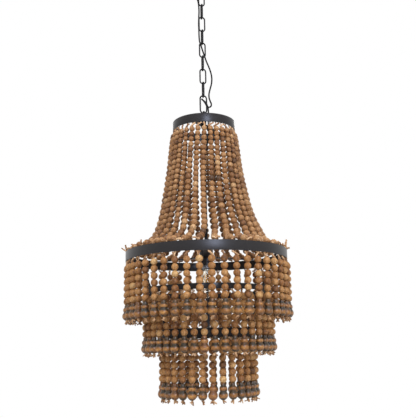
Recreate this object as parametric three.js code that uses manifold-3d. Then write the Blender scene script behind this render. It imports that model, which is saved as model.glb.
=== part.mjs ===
// Beaded chandelier: three falls of wooden beads under a draped crown, hung from a ceiling by a chain.
// Millimetres, +Z up. The origin is the middle of the ceiling face, and the front looks towards -Y.
// An azimuth is counted from the front (-Y) towards +X.
import * as THREE from "three";
import { mergeVertices } from "three/addons/utils/BufferGeometryUtils.js";
import Module from "manifold-3d";

const wasm = await Module();
wasm.setup();

// Clearances and cutting
const seatGap = 0.3;
const bandGap = 0.8;
const twineGap = 1;
const overrun = 2;

// Facets of round shapes, by how large they are
const hoopFacets = 48;
const shellFacets = 20;
const fittingFacets = 16;
const linkSteps = 12;
const wireSides = 5;
const strandSides = 5;
const drapeSides = 4;
const twineSides = 3;
const cordSides = 8;
const drapeSteps = 8;

// Canopy against the ceiling
const canopyRadius = 60;
const canopyDepth = 28;
const canopyWall = 1.2;
const canopyOutlineShares = [
  [0.45, 1],
  [0.75, 0.9],
  [0.93, 0.62],
  [1, 0.3],
  [1, 0],
];
const barLength = 100;
const barWidth = 20;
const barThickness = 3;
const barScrewSpacing = 70;
const barScrewRadius = 2.6;
const collarRadius = 11;
const collarHeight = 7;
const loopStemRadius = 5;
const loopRingRadius = 9;
const loopWireRadius = 2.5;
const bushingOffset = 22;
const bushingRadius = 7;
const bushingHeight = 9;
const bushingShankRadius = 4.6;
const bushingShankHeight = 5;

// Chain
const linkCount = 8;
const linkLength = 53.5;
const linkWidth = 22.6;
const linkWireRadius = 2.1;
const connectorLength = 62;
const connectorWidth = 25;
const connectorWireRadius = 2.2;
const chainTurnDegrees = 14;

// Eye and crossbar at the top of the frame
const eyeRingRadius = 10.5;
const eyeWireRadius = 2.3;
const eyeBaseRadius = 8;
const eyeBaseHeight = 22;
const eyeSocketDepth = 9;
const crossbarWidth = 20;
const crossbarThickness = 3;
const crossbarInset = 5;
const crossbarTurnDegrees = 60;
const nutRadius = 8.5;
const nutHeight = 7;
const glandOffset = 28.5;
const glandFlangeRadius = 6.2;
const glandShankRadius = 4.6;
const glandHeight = 9;
const glandTailHeight = 7;
const glandSocketDepth = 6;

// Hoops: outer radius, height of the band, and how far each top edge lies below the one before
const bandThickness = 2;
const topHoopRadius = 96;
const topHoopBand = 27;
const midHoopRadius = 238;
const midHoopBand = 27.6;
const midHoopDrop = 403;
const secondHoopBand = 15.5;
const secondHoopDrop = 107.8;
const thirdHoopBand = 24.4;
const thirdHoopDrop = 116.1;

// Spider inside the mid hoop, and the straps that carry the hoops below it
const spokeCount = 3;
const spokeWidth = 14;
const spokeThickness = 3;
const spokeHeight = 12;
const spiderRingWidth = 7;
const strapCount = 3;
const strapTurnDegrees = 60;
const strapWidth = 12;
const strapThickness = 2.5;
const strapFoot = 5;
const strapJog = 13;
const strapJogDrop = 9;

// Centre tube, lamp holder and bulb
const tubeRadius = 5;
const tubeWall = 1;
const cupRadius = 20;
const cupWall = 1.5;
const cupRise = 26;
const cupReach = 23;
const cupFlangeRadius = 23;
const cupFlangeHeight = 2.5;
const holderRadius = 17.8;
const holderInset = 1.5;
const holderThreadDepth = 15;
const holderBossDepth = 8;
const capRadius = 13.2;
const capLength = 28;
const capTipRadius = 5;
const capTipHeight = 2.5;
const glassLength = 84;
const glassRadius = 17;
const glassNeckRadius = 12.6;
const glassWall = 1.1;
const glassOutlineShares = [
  [0, 0.36],
  [0.04, 0.62],
  [0.12, 0.88],
  [0.22, 1],
  [0.66, 1],
  [0.84, 0.9],
];
const stemRadius = 4;
const stemLength = 26;
const filamentCount = 4;
const filamentRadius = 0.9;
const filamentLength = 40;
const filamentSpread = 6.5;

// Cord
const cordRadius = 2.4;
const cordStep = 12.5;
const leadStep = 25;

// Strands of beads
const twineRadius = 1.4;
const lacingHeight = 4;
const upperStrands = 33;
const upperRuns = 3;
const upperBeadRadius = 8.8;
const upperEdgeGap = 13;
const upperTopOutset = 3.6;
const upperFootInset = 7;
const upperFootRise = 8;
const upperTurnDegrees = 1;
const upperTwistDegrees = -5.5;
const drapeShares = [
  [0, 0],
  [0.06, 0.03],
  [0.305, 0.1],
  [0.52, 0.195],
  [0.727, 0.314],
  [0.868, 0.461],
  [0.939, 0.581],
  [0.985, 0.763],
  [1, 1],
];
const lowerBeadRadius = 9.6;
const lowerBeadLength = 18.7;
const beadsPerStrand = 6;
const finialLength = 45;
const finialRadius = 13;
const finialOutlineShares = [
  [0.07, 0.46],
  [0.74, 1],
];
const finialGap = 1.25;
const secondTierGap = 25;
const thirdTierGap = 23.6;
const outerRuns = 9;
const outerTwineDrop = 12.5;
const outerTurnDegrees = -12.8;
const secondRuns = 7;
const secondTwineDrop = 9.8;
const secondTurnDegrees = -20.7;
const thirdRuns = 5;
const thirdTwineDrop = 8.3;
const thirdTurnDegrees = -31.2;

// Route of the supply cord: out of the canopy, down beside the chain, through the fifth link,
// once round the connector link and into the gland on the crossbar.
// Below the canopy: right and back of the bushing's middle, and down from the canopy.
const canopyCordPoints = [
  [0, 0, 5],
  [0, 0, 16],
  [1.5, -2, 28],
];
// Beside the chain: right and back of its middle line, and the share of the way down it.
const chainCordOffsets = [
  [-15, -5.5],
  [-10.5, -8.3],
  [-8.8, -8.9],
  [-8.4, -9],
  [-9.4, -8.8],
  [-10.2, -8.5],
  [-9.8, -8.5],
  [-9.6, -8.6],
  [-8.2, -8.9],
  [-4.2, -6.6],
  [0, 0],
  [4, 6.2],
  [7.8, 8.6],
  [12.3, 8.2],
  [18.6, 5.8],
  [25, 2.8],
  [27.9, 0],
  [26.6, -1.8],
  [22.2, -3.6],
  [18.3, -5.6],
];
const chainCordShares = [
  0.0667, 0.117, 0.1644, 0.2147, 0.2733, 0.3319, 0.3934, 0.4492, 0.5022, 0.5385, 0.572,
  0.6013, 0.6334, 0.6753, 0.7242, 0.7842, 0.8428, 0.8959, 0.9461, 0.9936,
];
// Round the connector link: right and back of its middle line, and the share of the way down it.
const connectorCordOffsets = [
  [18.2, -8.4],
  [21.4, -11.2],
  [24.6, -13.2],
  [22.4, -14.6],
  [16.4, -14.6],
  [10.4, -13.6],
  [5.4, -12.2],
  [0.4, -10],
  [-3.4, -5.6],
  [-4.6, 0],
  [-2.2, 6.4],
  [4.2, 10.6],
  [10.4, 12.6],
  [14, 14.4],
  [15, 17.6],
  [14.8, 21],
];
const connectorCordShares = [
  0.2048, 0.4065, 0.5839, 0.7145, 0.7468, 0.6645, 0.5032, 0.3661, 0.2629, 0.221, 0.221,
  0.2774, 0.4145, 0.5919, 0.7855, 0.979,
];
// Into the gland: right and back of its middle, and up from the crossbar.
const glandCordPoints = [
  [0, 0, 29.75],
  [0, 0, 3.75],
];
// Route of the lamp lead: out of the gland, behind the centre tube and into the socket cup.
// Under the gland: right and back of its middle, and down from the crossbar.
const glandLeadPoints = [
  [0, 0, 4.35],
  [0, 0, 17.25],
  [-0.6, -0.7, 30.25],
  [-4, -4.5, 50.25],
  [-9, -10.2, 72.25],
  [-13, -14.6, 93.25],
  [-14.25, -16, 113.25],
];
// Along the tube: back of its middle line, and up from the cup.
const cupLeadPoints = [
  [8.7, 194.35],
  [8.7, 94.35],
  [8.7, 14.35],
  [8.7, -1.55],
];

// Each hoop below the mid hoop hangs one finial and a gap inside the tier above it.
const secondHoopRadius = midHoopRadius - finialRadius * 2 - secondTierGap;
const thirdHoopRadius = secondHoopRadius - finialRadius * 2 - thirdTierGap;

// Levels, from the ceiling down
const collarZ = -(canopyDepth + seatGap);
const loopRingZ = collarZ - collarHeight - seatGap - loopRingRadius - loopWireRadius;
const firstLinkTop =
  loopRingZ - loopRingRadius + loopWireRadius + seatGap + linkWireRadius * 2;
const linkPitch = linkLength - linkWireRadius * 4 - seatGap;
const lastLinkBottom = firstLinkTop - linkPitch * (linkCount - 1) - linkLength;
const connectorTop =
  lastLinkBottom + linkWireRadius * 2 + seatGap + connectorWireRadius * 2;
const connectorBottom = connectorTop - connectorLength;
const eyeRingZ =
  connectorBottom + connectorWireRadius * 2 + seatGap + eyeWireRadius - eyeRingRadius;
const eyeBaseTop = eyeRingZ - eyeRingRadius - eyeWireRadius / 2;
const crossbarTop = eyeBaseTop - eyeBaseHeight - seatGap;
const topHoopTop = crossbarTop + crossbarInset;
const topHoopBottom = topHoopTop - topHoopBand;
const midHoopTop = topHoopTop - midHoopDrop;
const midHoopBottom = midHoopTop - midHoopBand;
const secondHoopTop = midHoopTop - secondHoopDrop;
const secondHoopBottom = secondHoopTop - secondHoopBand;
const thirdHoopTop = secondHoopTop - thirdHoopDrop;
const thirdHoopBottom = thirdHoopTop - thirdHoopBand;
const spokeTop = midHoopBottom + spokeHeight + spokeThickness;
const cupTop = spokeTop + cupRise - spokeThickness;
const cupBottom = spokeTop - spokeThickness - cupReach;
const holderTop = cupTop - cupWall - seatGap;
const holderBottom = cupBottom + holderInset;
const capTop = holderBottom + holderThreadDepth - seatGap;
const capBottom = capTop - capLength;
const glassTop = capBottom - seatGap;

const glandPlace = new THREE.Vector3(glandOffset, 0, 0).applyAxisAngle(
  new THREE.Vector3(0, 0, 1),
  radians(crossbarTurnDegrees),
);

function towards(from, to, share) {
  return THREE.MathUtils.lerp(from, to, share);
}

const supplyCordRoute = [
  ...canopyCordPoints.map(
    ([x, y, down]) => new THREE.Vector3(x - bushingOffset, y, -canopyDepth - down),
  ),
  ...chainCordOffsets.map(
    ([x, y], i) =>
      new THREE.Vector3(x, y, towards(firstLinkTop, connectorTop, chainCordShares[i])),
  ),
  ...connectorCordOffsets.map(
    ([x, y], i) =>
      new THREE.Vector3(x, y, towards(connectorTop, connectorBottom, connectorCordShares[i])),
  ),
  ...glandCordPoints.map(
    ([x, y, up]) => glandPlace.clone().add(new THREE.Vector3(x, y, crossbarTop + up)),
  ),
];
const lampLeadRoute = [
  ...glandLeadPoints.map(
    ([x, y, down]) => glandPlace.clone().add(new THREE.Vector3(x, y, crossbarTop - down)),
  ),
  ...cupLeadPoints.map(([y, up]) => new THREE.Vector3(0, y, cupTop + up)),
];

// Painted steel, wood, twine, glass and cord
const steel = new THREE.MeshStandardMaterial({
  color: 0x3a3a3f,
  roughness: 0.45,
  metalness: 0.6,
});
const zincPlate = new THREE.MeshStandardMaterial({
  color: 0x9a9a98,
  roughness: 0.4,
  metalness: 0.9,
});
const rubber = new THREE.MeshStandardMaterial({ color: 0x1e1e20, roughness: 0.7 });
const wood = new THREE.MeshStandardMaterial({ color: 0x9a6b47, roughness: 0.75 });
const holderPlastic = new THREE.MeshStandardMaterial({
  color: 0x222222,
  roughness: 0.5,
});
const capMetal = new THREE.MeshStandardMaterial({
  color: 0xb9b4aa,
  roughness: 0.3,
  metalness: 1,
});
const glass = new THREE.MeshStandardMaterial({
  color: 0xf4efe4,
  roughness: 0.05,
  transparent: true,
  opacity: 0.3,
});
const filamentGold = new THREE.MeshStandardMaterial({
  color: 0xd8a040,
  roughness: 0.4,
  metalness: 0.5,
});

const chandelier = new THREE.Group();

function addPiece(name, geometry, material) {
  const piece = new THREE.Mesh(geometry, material);
  piece.name = name;
  chandelier.add(piece);
}

// Booleans

function solidOf(geometry) {
  const bare = geometry.clone();
  bare.deleteAttribute("normal");
  bare.deleteAttribute("uv");
  const merged = mergeVertices(bare);
  return new wasm.Manifold(
    new wasm.Mesh({
      numProp: 3,
      vertProperties: merged.attributes.position.array,
      triVerts: new Uint32Array(merged.index.array),
    }),
  );
}

function geometryOf(solid) {
  const mesh = solid.getMesh();
  const geometry = new THREE.BufferGeometry();
  geometry.setAttribute(
    "position",
    new THREE.BufferAttribute(new Float32Array(mesh.vertProperties), 3),
  );
  geometry.setIndex(new THREE.BufferAttribute(new Uint32Array(mesh.triVerts), 1));
  return geometry;
}

function joined(geometries) {
  const solids = geometries.map(solidOf);
  return geometryOf(solids.reduce((whole, next) => whole.add(next)));
}

function cut(geometry, tools) {
  return geometryOf(
    tools.map(solidOf).reduce((whole, tool) => whole.subtract(tool), solidOf(geometry)),
  );
}

// Shapes

function radians(degrees) {
  return THREE.MathUtils.degToRad(degrees);
}

function pointAt(azimuth, radius, z) {
  return new THREE.Vector3(radius * Math.sin(azimuth), -radius * Math.cos(azimuth), z);
}

// A body turned about Z from [radius, z] points that run anticlockwise.
function turned(profile, facets) {
  const points = profile.map(([radius, z]) => new THREE.Vector2(radius, z));
  return new THREE.LatheGeometry(points, facets).rotateX(Math.PI / 2);
}

function turnedRing(inner, outer, bottom, top, facets) {
  return turned(
    [
      [inner, bottom],
      [outer, bottom],
      [outer, top],
      [inner, top],
      [inner, bottom],
    ],
    facets,
  );
}

function turnedRod(radius, bottom, top, facets) {
  return turned(
    [
      [0, bottom],
      [radius, bottom],
      [radius, top],
      [0, top],
    ],
    facets,
  );
}

// A round bar of a few flat sides along a smooth curve through points.
function swept(points, radius, sides, steps) {
  const section = new THREE.Shape();
  for (let i = 0; i < sides; i++) {
    const angle = (2 * Math.PI * i) / sides;
    const x = radius * Math.cos(angle);
    const y = radius * Math.sin(angle);
    if (i) section.lineTo(x, y);
    else section.moveTo(x, y);
  }
  section.closePath();
  return new THREE.ExtrudeGeometry(section, {
    steps,
    extrudePath: new THREE.CatmullRomCurve3(points),
  });
}

// A ring of round wire that stands in the XZ plane.
function wireRing(radius, wireRadius) {
  return new THREE.TorusGeometry(radius, wireRadius, wireSides, fittingFacets).rotateX(
    Math.PI / 2,
  );
}

// An oval chain link in the XZ plane: a ring of wire whose upper and lower halves are drawn apart.
function ovalLink(length, width, wireRadius) {
  const bend = width / 2 - wireRadius;
  const stretch = length / 2 - wireRadius - bend;
  const link = new THREE.TorusGeometry(bend, wireRadius, wireSides, linkSteps);
  link.rotateZ(Math.PI / linkSteps);
  const position = link.attributes.position;
  for (let i = 0; i < position.count; i++) {
    const y = position.getY(i);
    position.setY(i, y + Math.sign(y) * stretch);
  }
  return link.rotateX(Math.PI / 2);
}

// Ceiling fittings

function makeCanopy() {
  const hole = loopStemRadius + seatGap;
  const outside = canopyOutlineShares.map(([across, down]) => [
    canopyRadius * across,
    -canopyDepth * down,
  ]);
  const inside = canopyOutlineShares
    .map(([across, down]) => [
      (canopyRadius - canopyWall) * across,
      -(canopyDepth - canopyWall) * down,
    ])
    .reverse();
  const shell = turned(
    [
      [hole, -canopyDepth],
      ...outside,
      ...inside,
      [hole, canopyWall - canopyDepth],
      [hole, -canopyDepth],
    ],
    shellFacets,
  );
  const cordHole = turnedRod(
    bushingShankRadius + seatGap,
    -canopyDepth - overrun,
    canopyWall - canopyDepth + overrun,
    fittingFacets,
  ).translate(-bushingOffset, 0, 0);
  addPiece("canopy", cut(shell, [cordHole]), steel);
}

function makeMountingBar() {
  const bar = new THREE.BoxGeometry(barLength, barWidth, barThickness).translate(
    0,
    0,
    -barThickness / 2,
  );
  const holes = [
    [0, loopStemRadius + seatGap],
    [-barScrewSpacing / 2, barScrewRadius],
    [barScrewSpacing / 2, barScrewRadius],
  ].map(([x, radius]) =>
    turnedRod(radius, -barThickness - overrun, overrun, fittingFacets).translate(x, 0, 0),
  );
  addPiece("mounting_bar", cut(bar, holes), zincPlate);
}

function makeCanopyLoop() {
  const ring = wireRing(loopRingRadius, loopWireRadius)
    .rotateZ(radians(chainTurnDegrees) + Math.PI / 2)
    .translate(0, 0, loopRingZ);
  const stem = turnedRod(
    loopStemRadius,
    loopRingZ + loopRingRadius,
    -seatGap,
    fittingFacets,
  );
  addPiece("canopy_loop", joined([ring, stem]), steel);
}

function makeCanopyCollar() {
  addPiece(
    "canopy_collar",
    turnedRing(
      loopStemRadius + seatGap,
      collarRadius,
      collarZ - collarHeight,
      collarZ,
      fittingFacets,
    ),
    steel,
  );
}

function makeCanopyBushing() {
  const bottom = -canopyDepth - bushingHeight;
  const shoulder = -canopyDepth - seatGap;
  const top = shoulder + bushingShankHeight;
  const bore = cordRadius + seatGap;
  const socketTop = supplyCordRoute[0].z + seatGap;
  addPiece(
    "canopy_bushing",
    turned(
      [
        [bore, bottom],
        [bushingShankRadius, bottom],
        [bushingRadius, shoulder],
        [bushingShankRadius, shoulder],
        [bushingShankRadius, top],
        [0, top],
        [0, socketTop],
        [bore, socketTop],
        [bore, bottom],
      ],
      fittingFacets,
    ).translate(-bushingOffset, 0, 0),
    rubber,
  );
}

// Chain

function makeChain() {
  for (let i = 0; i < linkCount; i++) {
    const turn = radians(chainTurnDegrees) + (i % 2 ? Math.PI / 2 : 0);
    const middle = firstLinkTop - linkPitch * i - linkLength / 2;
    addPiece(
      `chain_link_${i + 1}`,
      ovalLink(linkLength, linkWidth, linkWireRadius)
        .rotateZ(turn)
        .translate(0, 0, middle),
      steel,
    );
  }
  addPiece(
    "connector_link",
    ovalLink(connectorLength, connectorWidth, connectorWireRadius)
      .rotateZ(radians(chainTurnDegrees))
      .translate(0, 0, connectorTop - connectorLength / 2),
    steel,
  );
}

// Top of the frame

function makeFrameEye() {
  const ring = wireRing(eyeRingRadius, eyeWireRadius)
    .rotateZ(radians(chainTurnDegrees) + Math.PI / 2)
    .translate(0, 0, eyeRingZ);
  const bottom = eyeBaseTop - eyeBaseHeight;
  const bore = tubeRadius + seatGap;
  const base = turned(
    [
      [bore, bottom],
      [eyeBaseRadius, bottom],
      [eyeBaseRadius, eyeBaseTop],
      [0, eyeBaseTop],
      [0, bottom + eyeSocketDepth],
      [bore, bottom + eyeSocketDepth],
      [bore, bottom],
    ],
    fittingFacets,
  );
  addPiece("frame_eye", joined([ring, base]), steel);
}

function makeTopCrossbar() {
  const length = 2 * (topHoopRadius - bandThickness - bandGap);
  const middle = crossbarTop - crossbarThickness / 2;
  const bar = new THREE.BoxGeometry(length, crossbarWidth, crossbarThickness)
    .rotateZ(radians(crossbarTurnDegrees))
    .translate(0, 0, middle);
  const bottom = crossbarTop - crossbarThickness - overrun;
  const top = crossbarTop + overrun;
  const tubeHole = turnedRod(tubeRadius + seatGap, bottom, top, fittingFacets);
  const glandHole = turnedRod(
    glandShankRadius + seatGap,
    bottom,
    top,
    fittingFacets,
  ).translate(glandPlace.x, glandPlace.y, 0);
  addPiece("top_crossbar", cut(bar, [tubeHole, glandHole]), steel);
}

function makeTubeNut() {
  const top = crossbarTop - crossbarThickness - seatGap;
  addPiece(
    "tube_nut",
    turnedRing(tubeRadius + seatGap, nutRadius, top - nutHeight, top, fittingFacets),
    steel,
  );
}

function makeCordGland() {
  const bore = cordRadius + seatGap;
  const seat = crossbarTop + seatGap;
  const top = seat + glandHeight;
  const bottom = crossbarTop - crossbarThickness - glandTailHeight;
  const upperFloor = top - glandSocketDepth;
  const lowerFloor = bottom + glandSocketDepth;
  addPiece(
    "cord_gland",
    turned(
      [
        [0, lowerFloor],
        [bore, lowerFloor],
        [bore, bottom],
        [glandShankRadius, bottom],
        [glandShankRadius, seat],
        [glandFlangeRadius, seat],
        [glandFlangeRadius, top - glandSocketDepth],
        [glandShankRadius, top],
        [bore, top],
        [bore, upperFloor],
        [0, upperFloor],
      ],
      fittingFacets,
    ).translate(glandPlace.x, glandPlace.y, 0),
    rubber,
  );
}

function makeCentreTube() {
  const top = eyeBaseTop - eyeBaseHeight + eyeSocketDepth - seatGap;
  const bottom = holderTop - holderBossDepth + seatGap;
  addPiece(
    "centre_tube",
    turnedRing(tubeRadius - tubeWall, tubeRadius, bottom, top, fittingFacets),
    steel,
  );
}

// Hoops, spider and straps

function makeHoop(name, radius, top, band) {
  addPiece(
    name,
    turnedRing(radius - bandThickness, radius, top - band, top, hoopFacets),
    steel,
  );
}

function makeMidSpider() {
  const inner = cupRadius + seatGap;
  const outer = cupFlangeRadius + spiderRingWidth;
  const bottom = spokeTop - spokeThickness;
  const ring = turnedRing(inner, outer, bottom, spokeTop, shellFacets);
  const start = outer - spiderRingWidth / 2;
  const end = midHoopRadius - bandThickness - bandGap;
  const pieces = [ring];
  for (let i = 0; i < spokeCount; i++) {
    const azimuth = (2 * Math.PI * i) / spokeCount;
    pieces.push(
      new THREE.BoxGeometry(end - start, spokeWidth, spokeThickness)
        .translate((end + start) / 2, 0, spokeTop - spokeThickness / 2)
        .rotateZ(azimuth - Math.PI / 2),
    );
  }
  addPiece("mid_spider", joined(pieces), steel);
}

// The side view of a bent flat strap, as a closed outline about its middle line of [radius, z] points.
function strapOutline(line) {
  const middle = line.map(([radius, z]) => new THREE.Vector2(radius, z));
  const side = (sign) =>
    middle.map((point, i) => {
      const before = middle[Math.max(i - 1, 0)];
      const after = middle[Math.min(i + 1, middle.length - 1)];
      const along = (i ? point.clone().sub(before) : after.clone().sub(point)).normalize();
      const next = (
        i < middle.length - 1 ? after.clone().sub(point) : point.clone().sub(before)
      ).normalize();
      const bisector = along.clone().add(next).normalize();
      const reach = strapThickness / 2 / bisector.dot(along);
      return point
        .clone()
        .add(new THREE.Vector2(-bisector.y, bisector.x).multiplyScalar(sign * reach));
    });
  return new THREE.Shape([...side(1), ...side(-1).reverse()]);
}

function makeHangerStraps() {
  const against = (radius) => radius - bandThickness - bandGap - strapThickness / 2;
  const midR = against(midHoopRadius);
  const secondR = against(secondHoopRadius);
  const thirdR = against(thirdHoopRadius);
  const midFoot = spokeTop - spokeThickness - strapThickness;
  const secondFoot = secondHoopTop - strapFoot;
  const line = [
    [midR, spokeTop + strapFoot],
    [midR, midFoot],
    [midR - strapJog, midFoot - strapJogDrop],
    [secondR, secondHoopTop],
    [secondR, secondFoot],
    [secondR - strapJog, secondFoot - strapJogDrop],
    [thirdR, thirdHoopTop],
    [thirdR, thirdHoopTop - strapFoot * 2],
  ];
  for (let i = 0; i < strapCount; i++) {
    const azimuth = radians(strapTurnDegrees) + (2 * Math.PI * i) / strapCount;
    addPiece(
      `hanger_strap_${i + 1}`,
      new THREE.ExtrudeGeometry(strapOutline(line), {
        depth: strapWidth,
        bevelEnabled: false,
      })
        .rotateX(Math.PI / 2)
        .translate(0, strapWidth / 2, 0)
        .rotateZ(azimuth - Math.PI / 2),
      steel,
    );
  }
}

// Lamp holder and bulb

function makeSocketCup() {
  const hole = tubeRadius + seatGap;
  const flangeTop = spokeTop - spokeThickness - seatGap;
  const inner = cupRadius - cupWall;
  const cup = turned(
    [
      [inner, cupBottom],
      [cupRadius, cupBottom],
      [cupRadius, flangeTop - cupFlangeHeight],
      [cupFlangeRadius, flangeTop - cupFlangeHeight],
      [cupFlangeRadius, flangeTop],
      [cupRadius, flangeTop],
      [cupRadius, cupTop],
      [hole, cupTop],
      [hole, cupTop - cupWall],
      [inner, cupTop - cupWall],
      [inner, cupBottom],
    ],
    shellFacets,
  );
  const leadEnd = lampLeadRoute[lampLeadRoute.length - 1];
  const leadHole = turnedRod(
    cordRadius + seatGap,
    cupTop - cupWall - overrun,
    cupTop + overrun,
    fittingFacets,
  ).translate(leadEnd.x, leadEnd.y, 0);
  addPiece("socket_cup", cut(cup, [leadHole]), steel);
}

function makeSocketInsert() {
  const boss = tubeRadius + seatGap;
  const bore = capRadius + seatGap;
  const bossFloor = holderTop - holderBossDepth;
  const boreTop = holderBottom + holderThreadDepth;
  const insert = turned(
    [
      [0, boreTop],
      [bore, boreTop],
      [bore, holderBottom],
      [holderRadius, holderBottom],
      [holderRadius, holderTop],
      [boss, holderTop],
      [boss, bossFloor],
      [0, bossFloor],
    ],
    shellFacets,
  );
  addPiece("socket_insert", insert, holderPlastic);
}

function makeBulb() {
  const capSolid = turned(
    [
      [0, capBottom],
      [capRadius, capBottom],
      [capRadius, capTop - capTipHeight * 2],
      [capTipRadius, capTop - capTipHeight],
      [capTipRadius, capTop],
      [0, capTop],
    ],
    shellFacets,
  );
  addPiece("bulb_cap", capSolid, capMetal);

  const neckShare = glassNeckRadius / glassRadius;
  const tip = glassTop - glassLength;
  const outside = glassOutlineShares.map(([up, across]) => [
    glassRadius * across,
    tip + glassLength * up,
  ]);
  const inside = glassOutlineShares
    .map(([up, across]) => [
      (glassRadius - glassWall) * across,
      tip + glassWall + (glassLength - glassWall) * up,
    ])
    .reverse();
  const glassSolid = turned(
    [
      [0, tip],
      ...outside,
      [glassRadius * neckShare, glassTop],
      [(glassRadius - glassWall) * neckShare, glassTop],
      ...inside,
      [0, tip + glassWall],
    ],
    shellFacets,
  );
  addPiece("bulb_glass", glassSolid, glass);

  const stemBottom = glassTop - stemLength;
  const pieces = [turnedRod(stemRadius, stemBottom, glassTop, fittingFacets / 2)];
  for (let i = 0; i < filamentCount; i++) {
    const azimuth = (2 * Math.PI * i) / filamentCount;
    pieces.push(
      swept(
        [
          pointAt(azimuth, 0, stemBottom + stemRadius),
          pointAt(azimuth, filamentSpread, stemBottom),
          pointAt(azimuth, filamentSpread, stemBottom - filamentLength),
        ],
        filamentRadius,
        twineSides,
        filamentCount,
      ),
    );
  }
  addPiece("bulb_filament", joined(pieces), filamentGold);
}

// Cords

function makeCord(name, route, step) {
  const steps = Math.ceil(new THREE.CatmullRomCurve3(route).getLength() / step);
  addPiece(name, swept(route, cordRadius, cordSides, steps), rubber);
}

// Strands of beads

// The twine that laces a run of strands together along the inside of a hoop.
function lacing(azimuths, radius, z) {
  const points = azimuths.map((azimuth) => pointAt(azimuth, radius, z));
  return swept(points, twineRadius, twineSides, azimuths.length - 1);
}

// Azimuths of the strands of one run out of a whole tier.
function runAzimuths(perRun, runs, run, turnDegrees) {
  const step = (2 * Math.PI) / (perRun * runs);
  return Array.from(
    { length: perRun },
    (_, i) => radians(turnDegrees) + step * (run * perRun + i),
  );
}

function twineRadiusAt(hoopRadius) {
  return hoopRadius - bandThickness - twineGap - twineRadius;
}

// Strands that leave the top hoop's lower edge, turn a little as they fall and flare to the mid hoop.
function makeUpperStrands() {
  const topR = twineRadiusAt(topHoopRadius);
  const footR = twineRadiusAt(midHoopRadius);
  const topLacing = topHoopBottom + lacingHeight;
  const footLacing = midHoopTop - lacingHeight;
  const beadTop = topHoopBottom - upperEdgeGap;
  const beadTopR = topR + upperTopOutset;
  const beadFoot = midHoopTop + upperFootRise;
  const beadFootR = footR - upperFootInset;
  const twist = radians(upperTwistDegrees);
  for (let run = 0; run < upperRuns; run++) {
    const azimuths = runAzimuths(
      upperStrands / upperRuns,
      upperRuns,
      run,
      upperTurnDegrees,
    );
    const footAzimuths = azimuths.map((azimuth) => azimuth + twist);
    const pieces = [
      lacing(azimuths, topR, topLacing),
      lacing(footAzimuths, footR, footLacing),
    ];
    azimuths.forEach((azimuth, i) => {
      const foot = footAzimuths[i];
      const curve = drapeShares.map(([down, out]) =>
        pointAt(
          azimuth + twist * down,
          beadTopR + (beadFootR - beadTopR) * out,
          beadTop + (beadFoot - beadTop) * down,
        ),
      );
      pieces.push(
        swept(curve, upperBeadRadius, drapeSides, drapeSteps),
        swept(
          [
            pointAt(azimuth, topR, topLacing),
            pointAt(azimuth, topR, topHoopBottom - twineRadius),
            pointAt(azimuth, beadTopR, beadTop - upperBeadRadius),
          ],
          twineRadius,
          twineSides,
          2,
        ),
        swept(
          [
            pointAt(foot, footR, footLacing),
            pointAt(foot, footR, midHoopTop + twineRadius),
            pointAt(foot, beadFootR - upperBeadRadius, beadFoot),
          ],
          twineRadius,
          twineSides,
          2,
        ),
      );
    });
    addPiece(`upper_beads_${run + 1}`, joined(pieces), wood);
  }
}

// One hanging strand about Z, with its hoop's lower edge at height 0: twine, beads and finial.
function hangingStrand(twineDrop) {
  const beadFoot = -twineDrop - lowerBeadLength * beadsPerStrand;
  const finial = finialOutlineShares
    .map(([down, across]) => [finialRadius * across, beadFoot - finialLength * down])
    .reverse();
  return turned(
    [
      [0, beadFoot - finialLength],
      ...finial,
      [lowerBeadRadius, beadFoot],
      [lowerBeadRadius, -twineDrop - twineRadius],
      [twineRadius, -twineDrop],
      [twineRadius, lacingHeight],
      [0, lacingHeight],
    ],
    strandSides,
  );
}

// A tier of strands in equal runs, as many to a run as its finials leave room for.
function makeTier(name, hoopRadius, hoopBottom, tier) {
  const { runs, twineDrop, turnDegrees } = tier;
  const radius = twineRadiusAt(hoopRadius);
  const runLength = (2 * Math.PI * radius) / runs;
  const perRun = Math.floor(runLength / (finialRadius * 2 + finialGap));
  for (let run = 0; run < runs; run++) {
    const azimuths = runAzimuths(perRun, runs, run, turnDegrees);
    const pieces = azimuths.map((azimuth) => {
      const foot = pointAt(azimuth, radius, hoopBottom);
      return hangingStrand(twineDrop).rotateZ(azimuth).translate(foot.x, foot.y, foot.z);
    });
    pieces.push(lacing(azimuths, radius, hoopBottom + lacingHeight));
    addPiece(`${name}_beads_${run + 1}`, joined(pieces), wood);
  }
}

makeCanopy();
makeMountingBar();
makeCanopyLoop();
makeCanopyCollar();
makeCanopyBushing();
makeChain();
makeFrameEye();
makeTopCrossbar();
makeTubeNut();
makeCordGland();
makeCentreTube();
makeHoop("top_hoop", topHoopRadius, topHoopTop, topHoopBand);
makeHoop("mid_hoop", midHoopRadius, midHoopTop, midHoopBand);
makeHoop("second_hoop", secondHoopRadius, secondHoopTop, secondHoopBand);
makeHoop("third_hoop", thirdHoopRadius, thirdHoopTop, thirdHoopBand);
makeMidSpider();
makeHangerStraps();
makeSocketCup();
makeSocketInsert();
makeBulb();
makeCord("supply_cord", supplyCordRoute, cordStep);
makeCord("lamp_lead", lampLeadRoute, leadStep);
makeUpperStrands();
makeTier("outer", midHoopRadius, midHoopBottom, {
  runs: outerRuns,
  twineDrop: outerTwineDrop,
  turnDegrees: outerTurnDegrees,
});
makeTier("second", secondHoopRadius, secondHoopBottom, {
  runs: secondRuns,
  twineDrop: secondTwineDrop,
  turnDegrees: secondTurnDegrees,
});
makeTier("third", thirdHoopRadius, thirdHoopBottom, {
  runs: thirdRuns,
  twineDrop: thirdTwineDrop,
  turnDegrees: thirdTurnDegrees,
});

export default chandelier;
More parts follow.
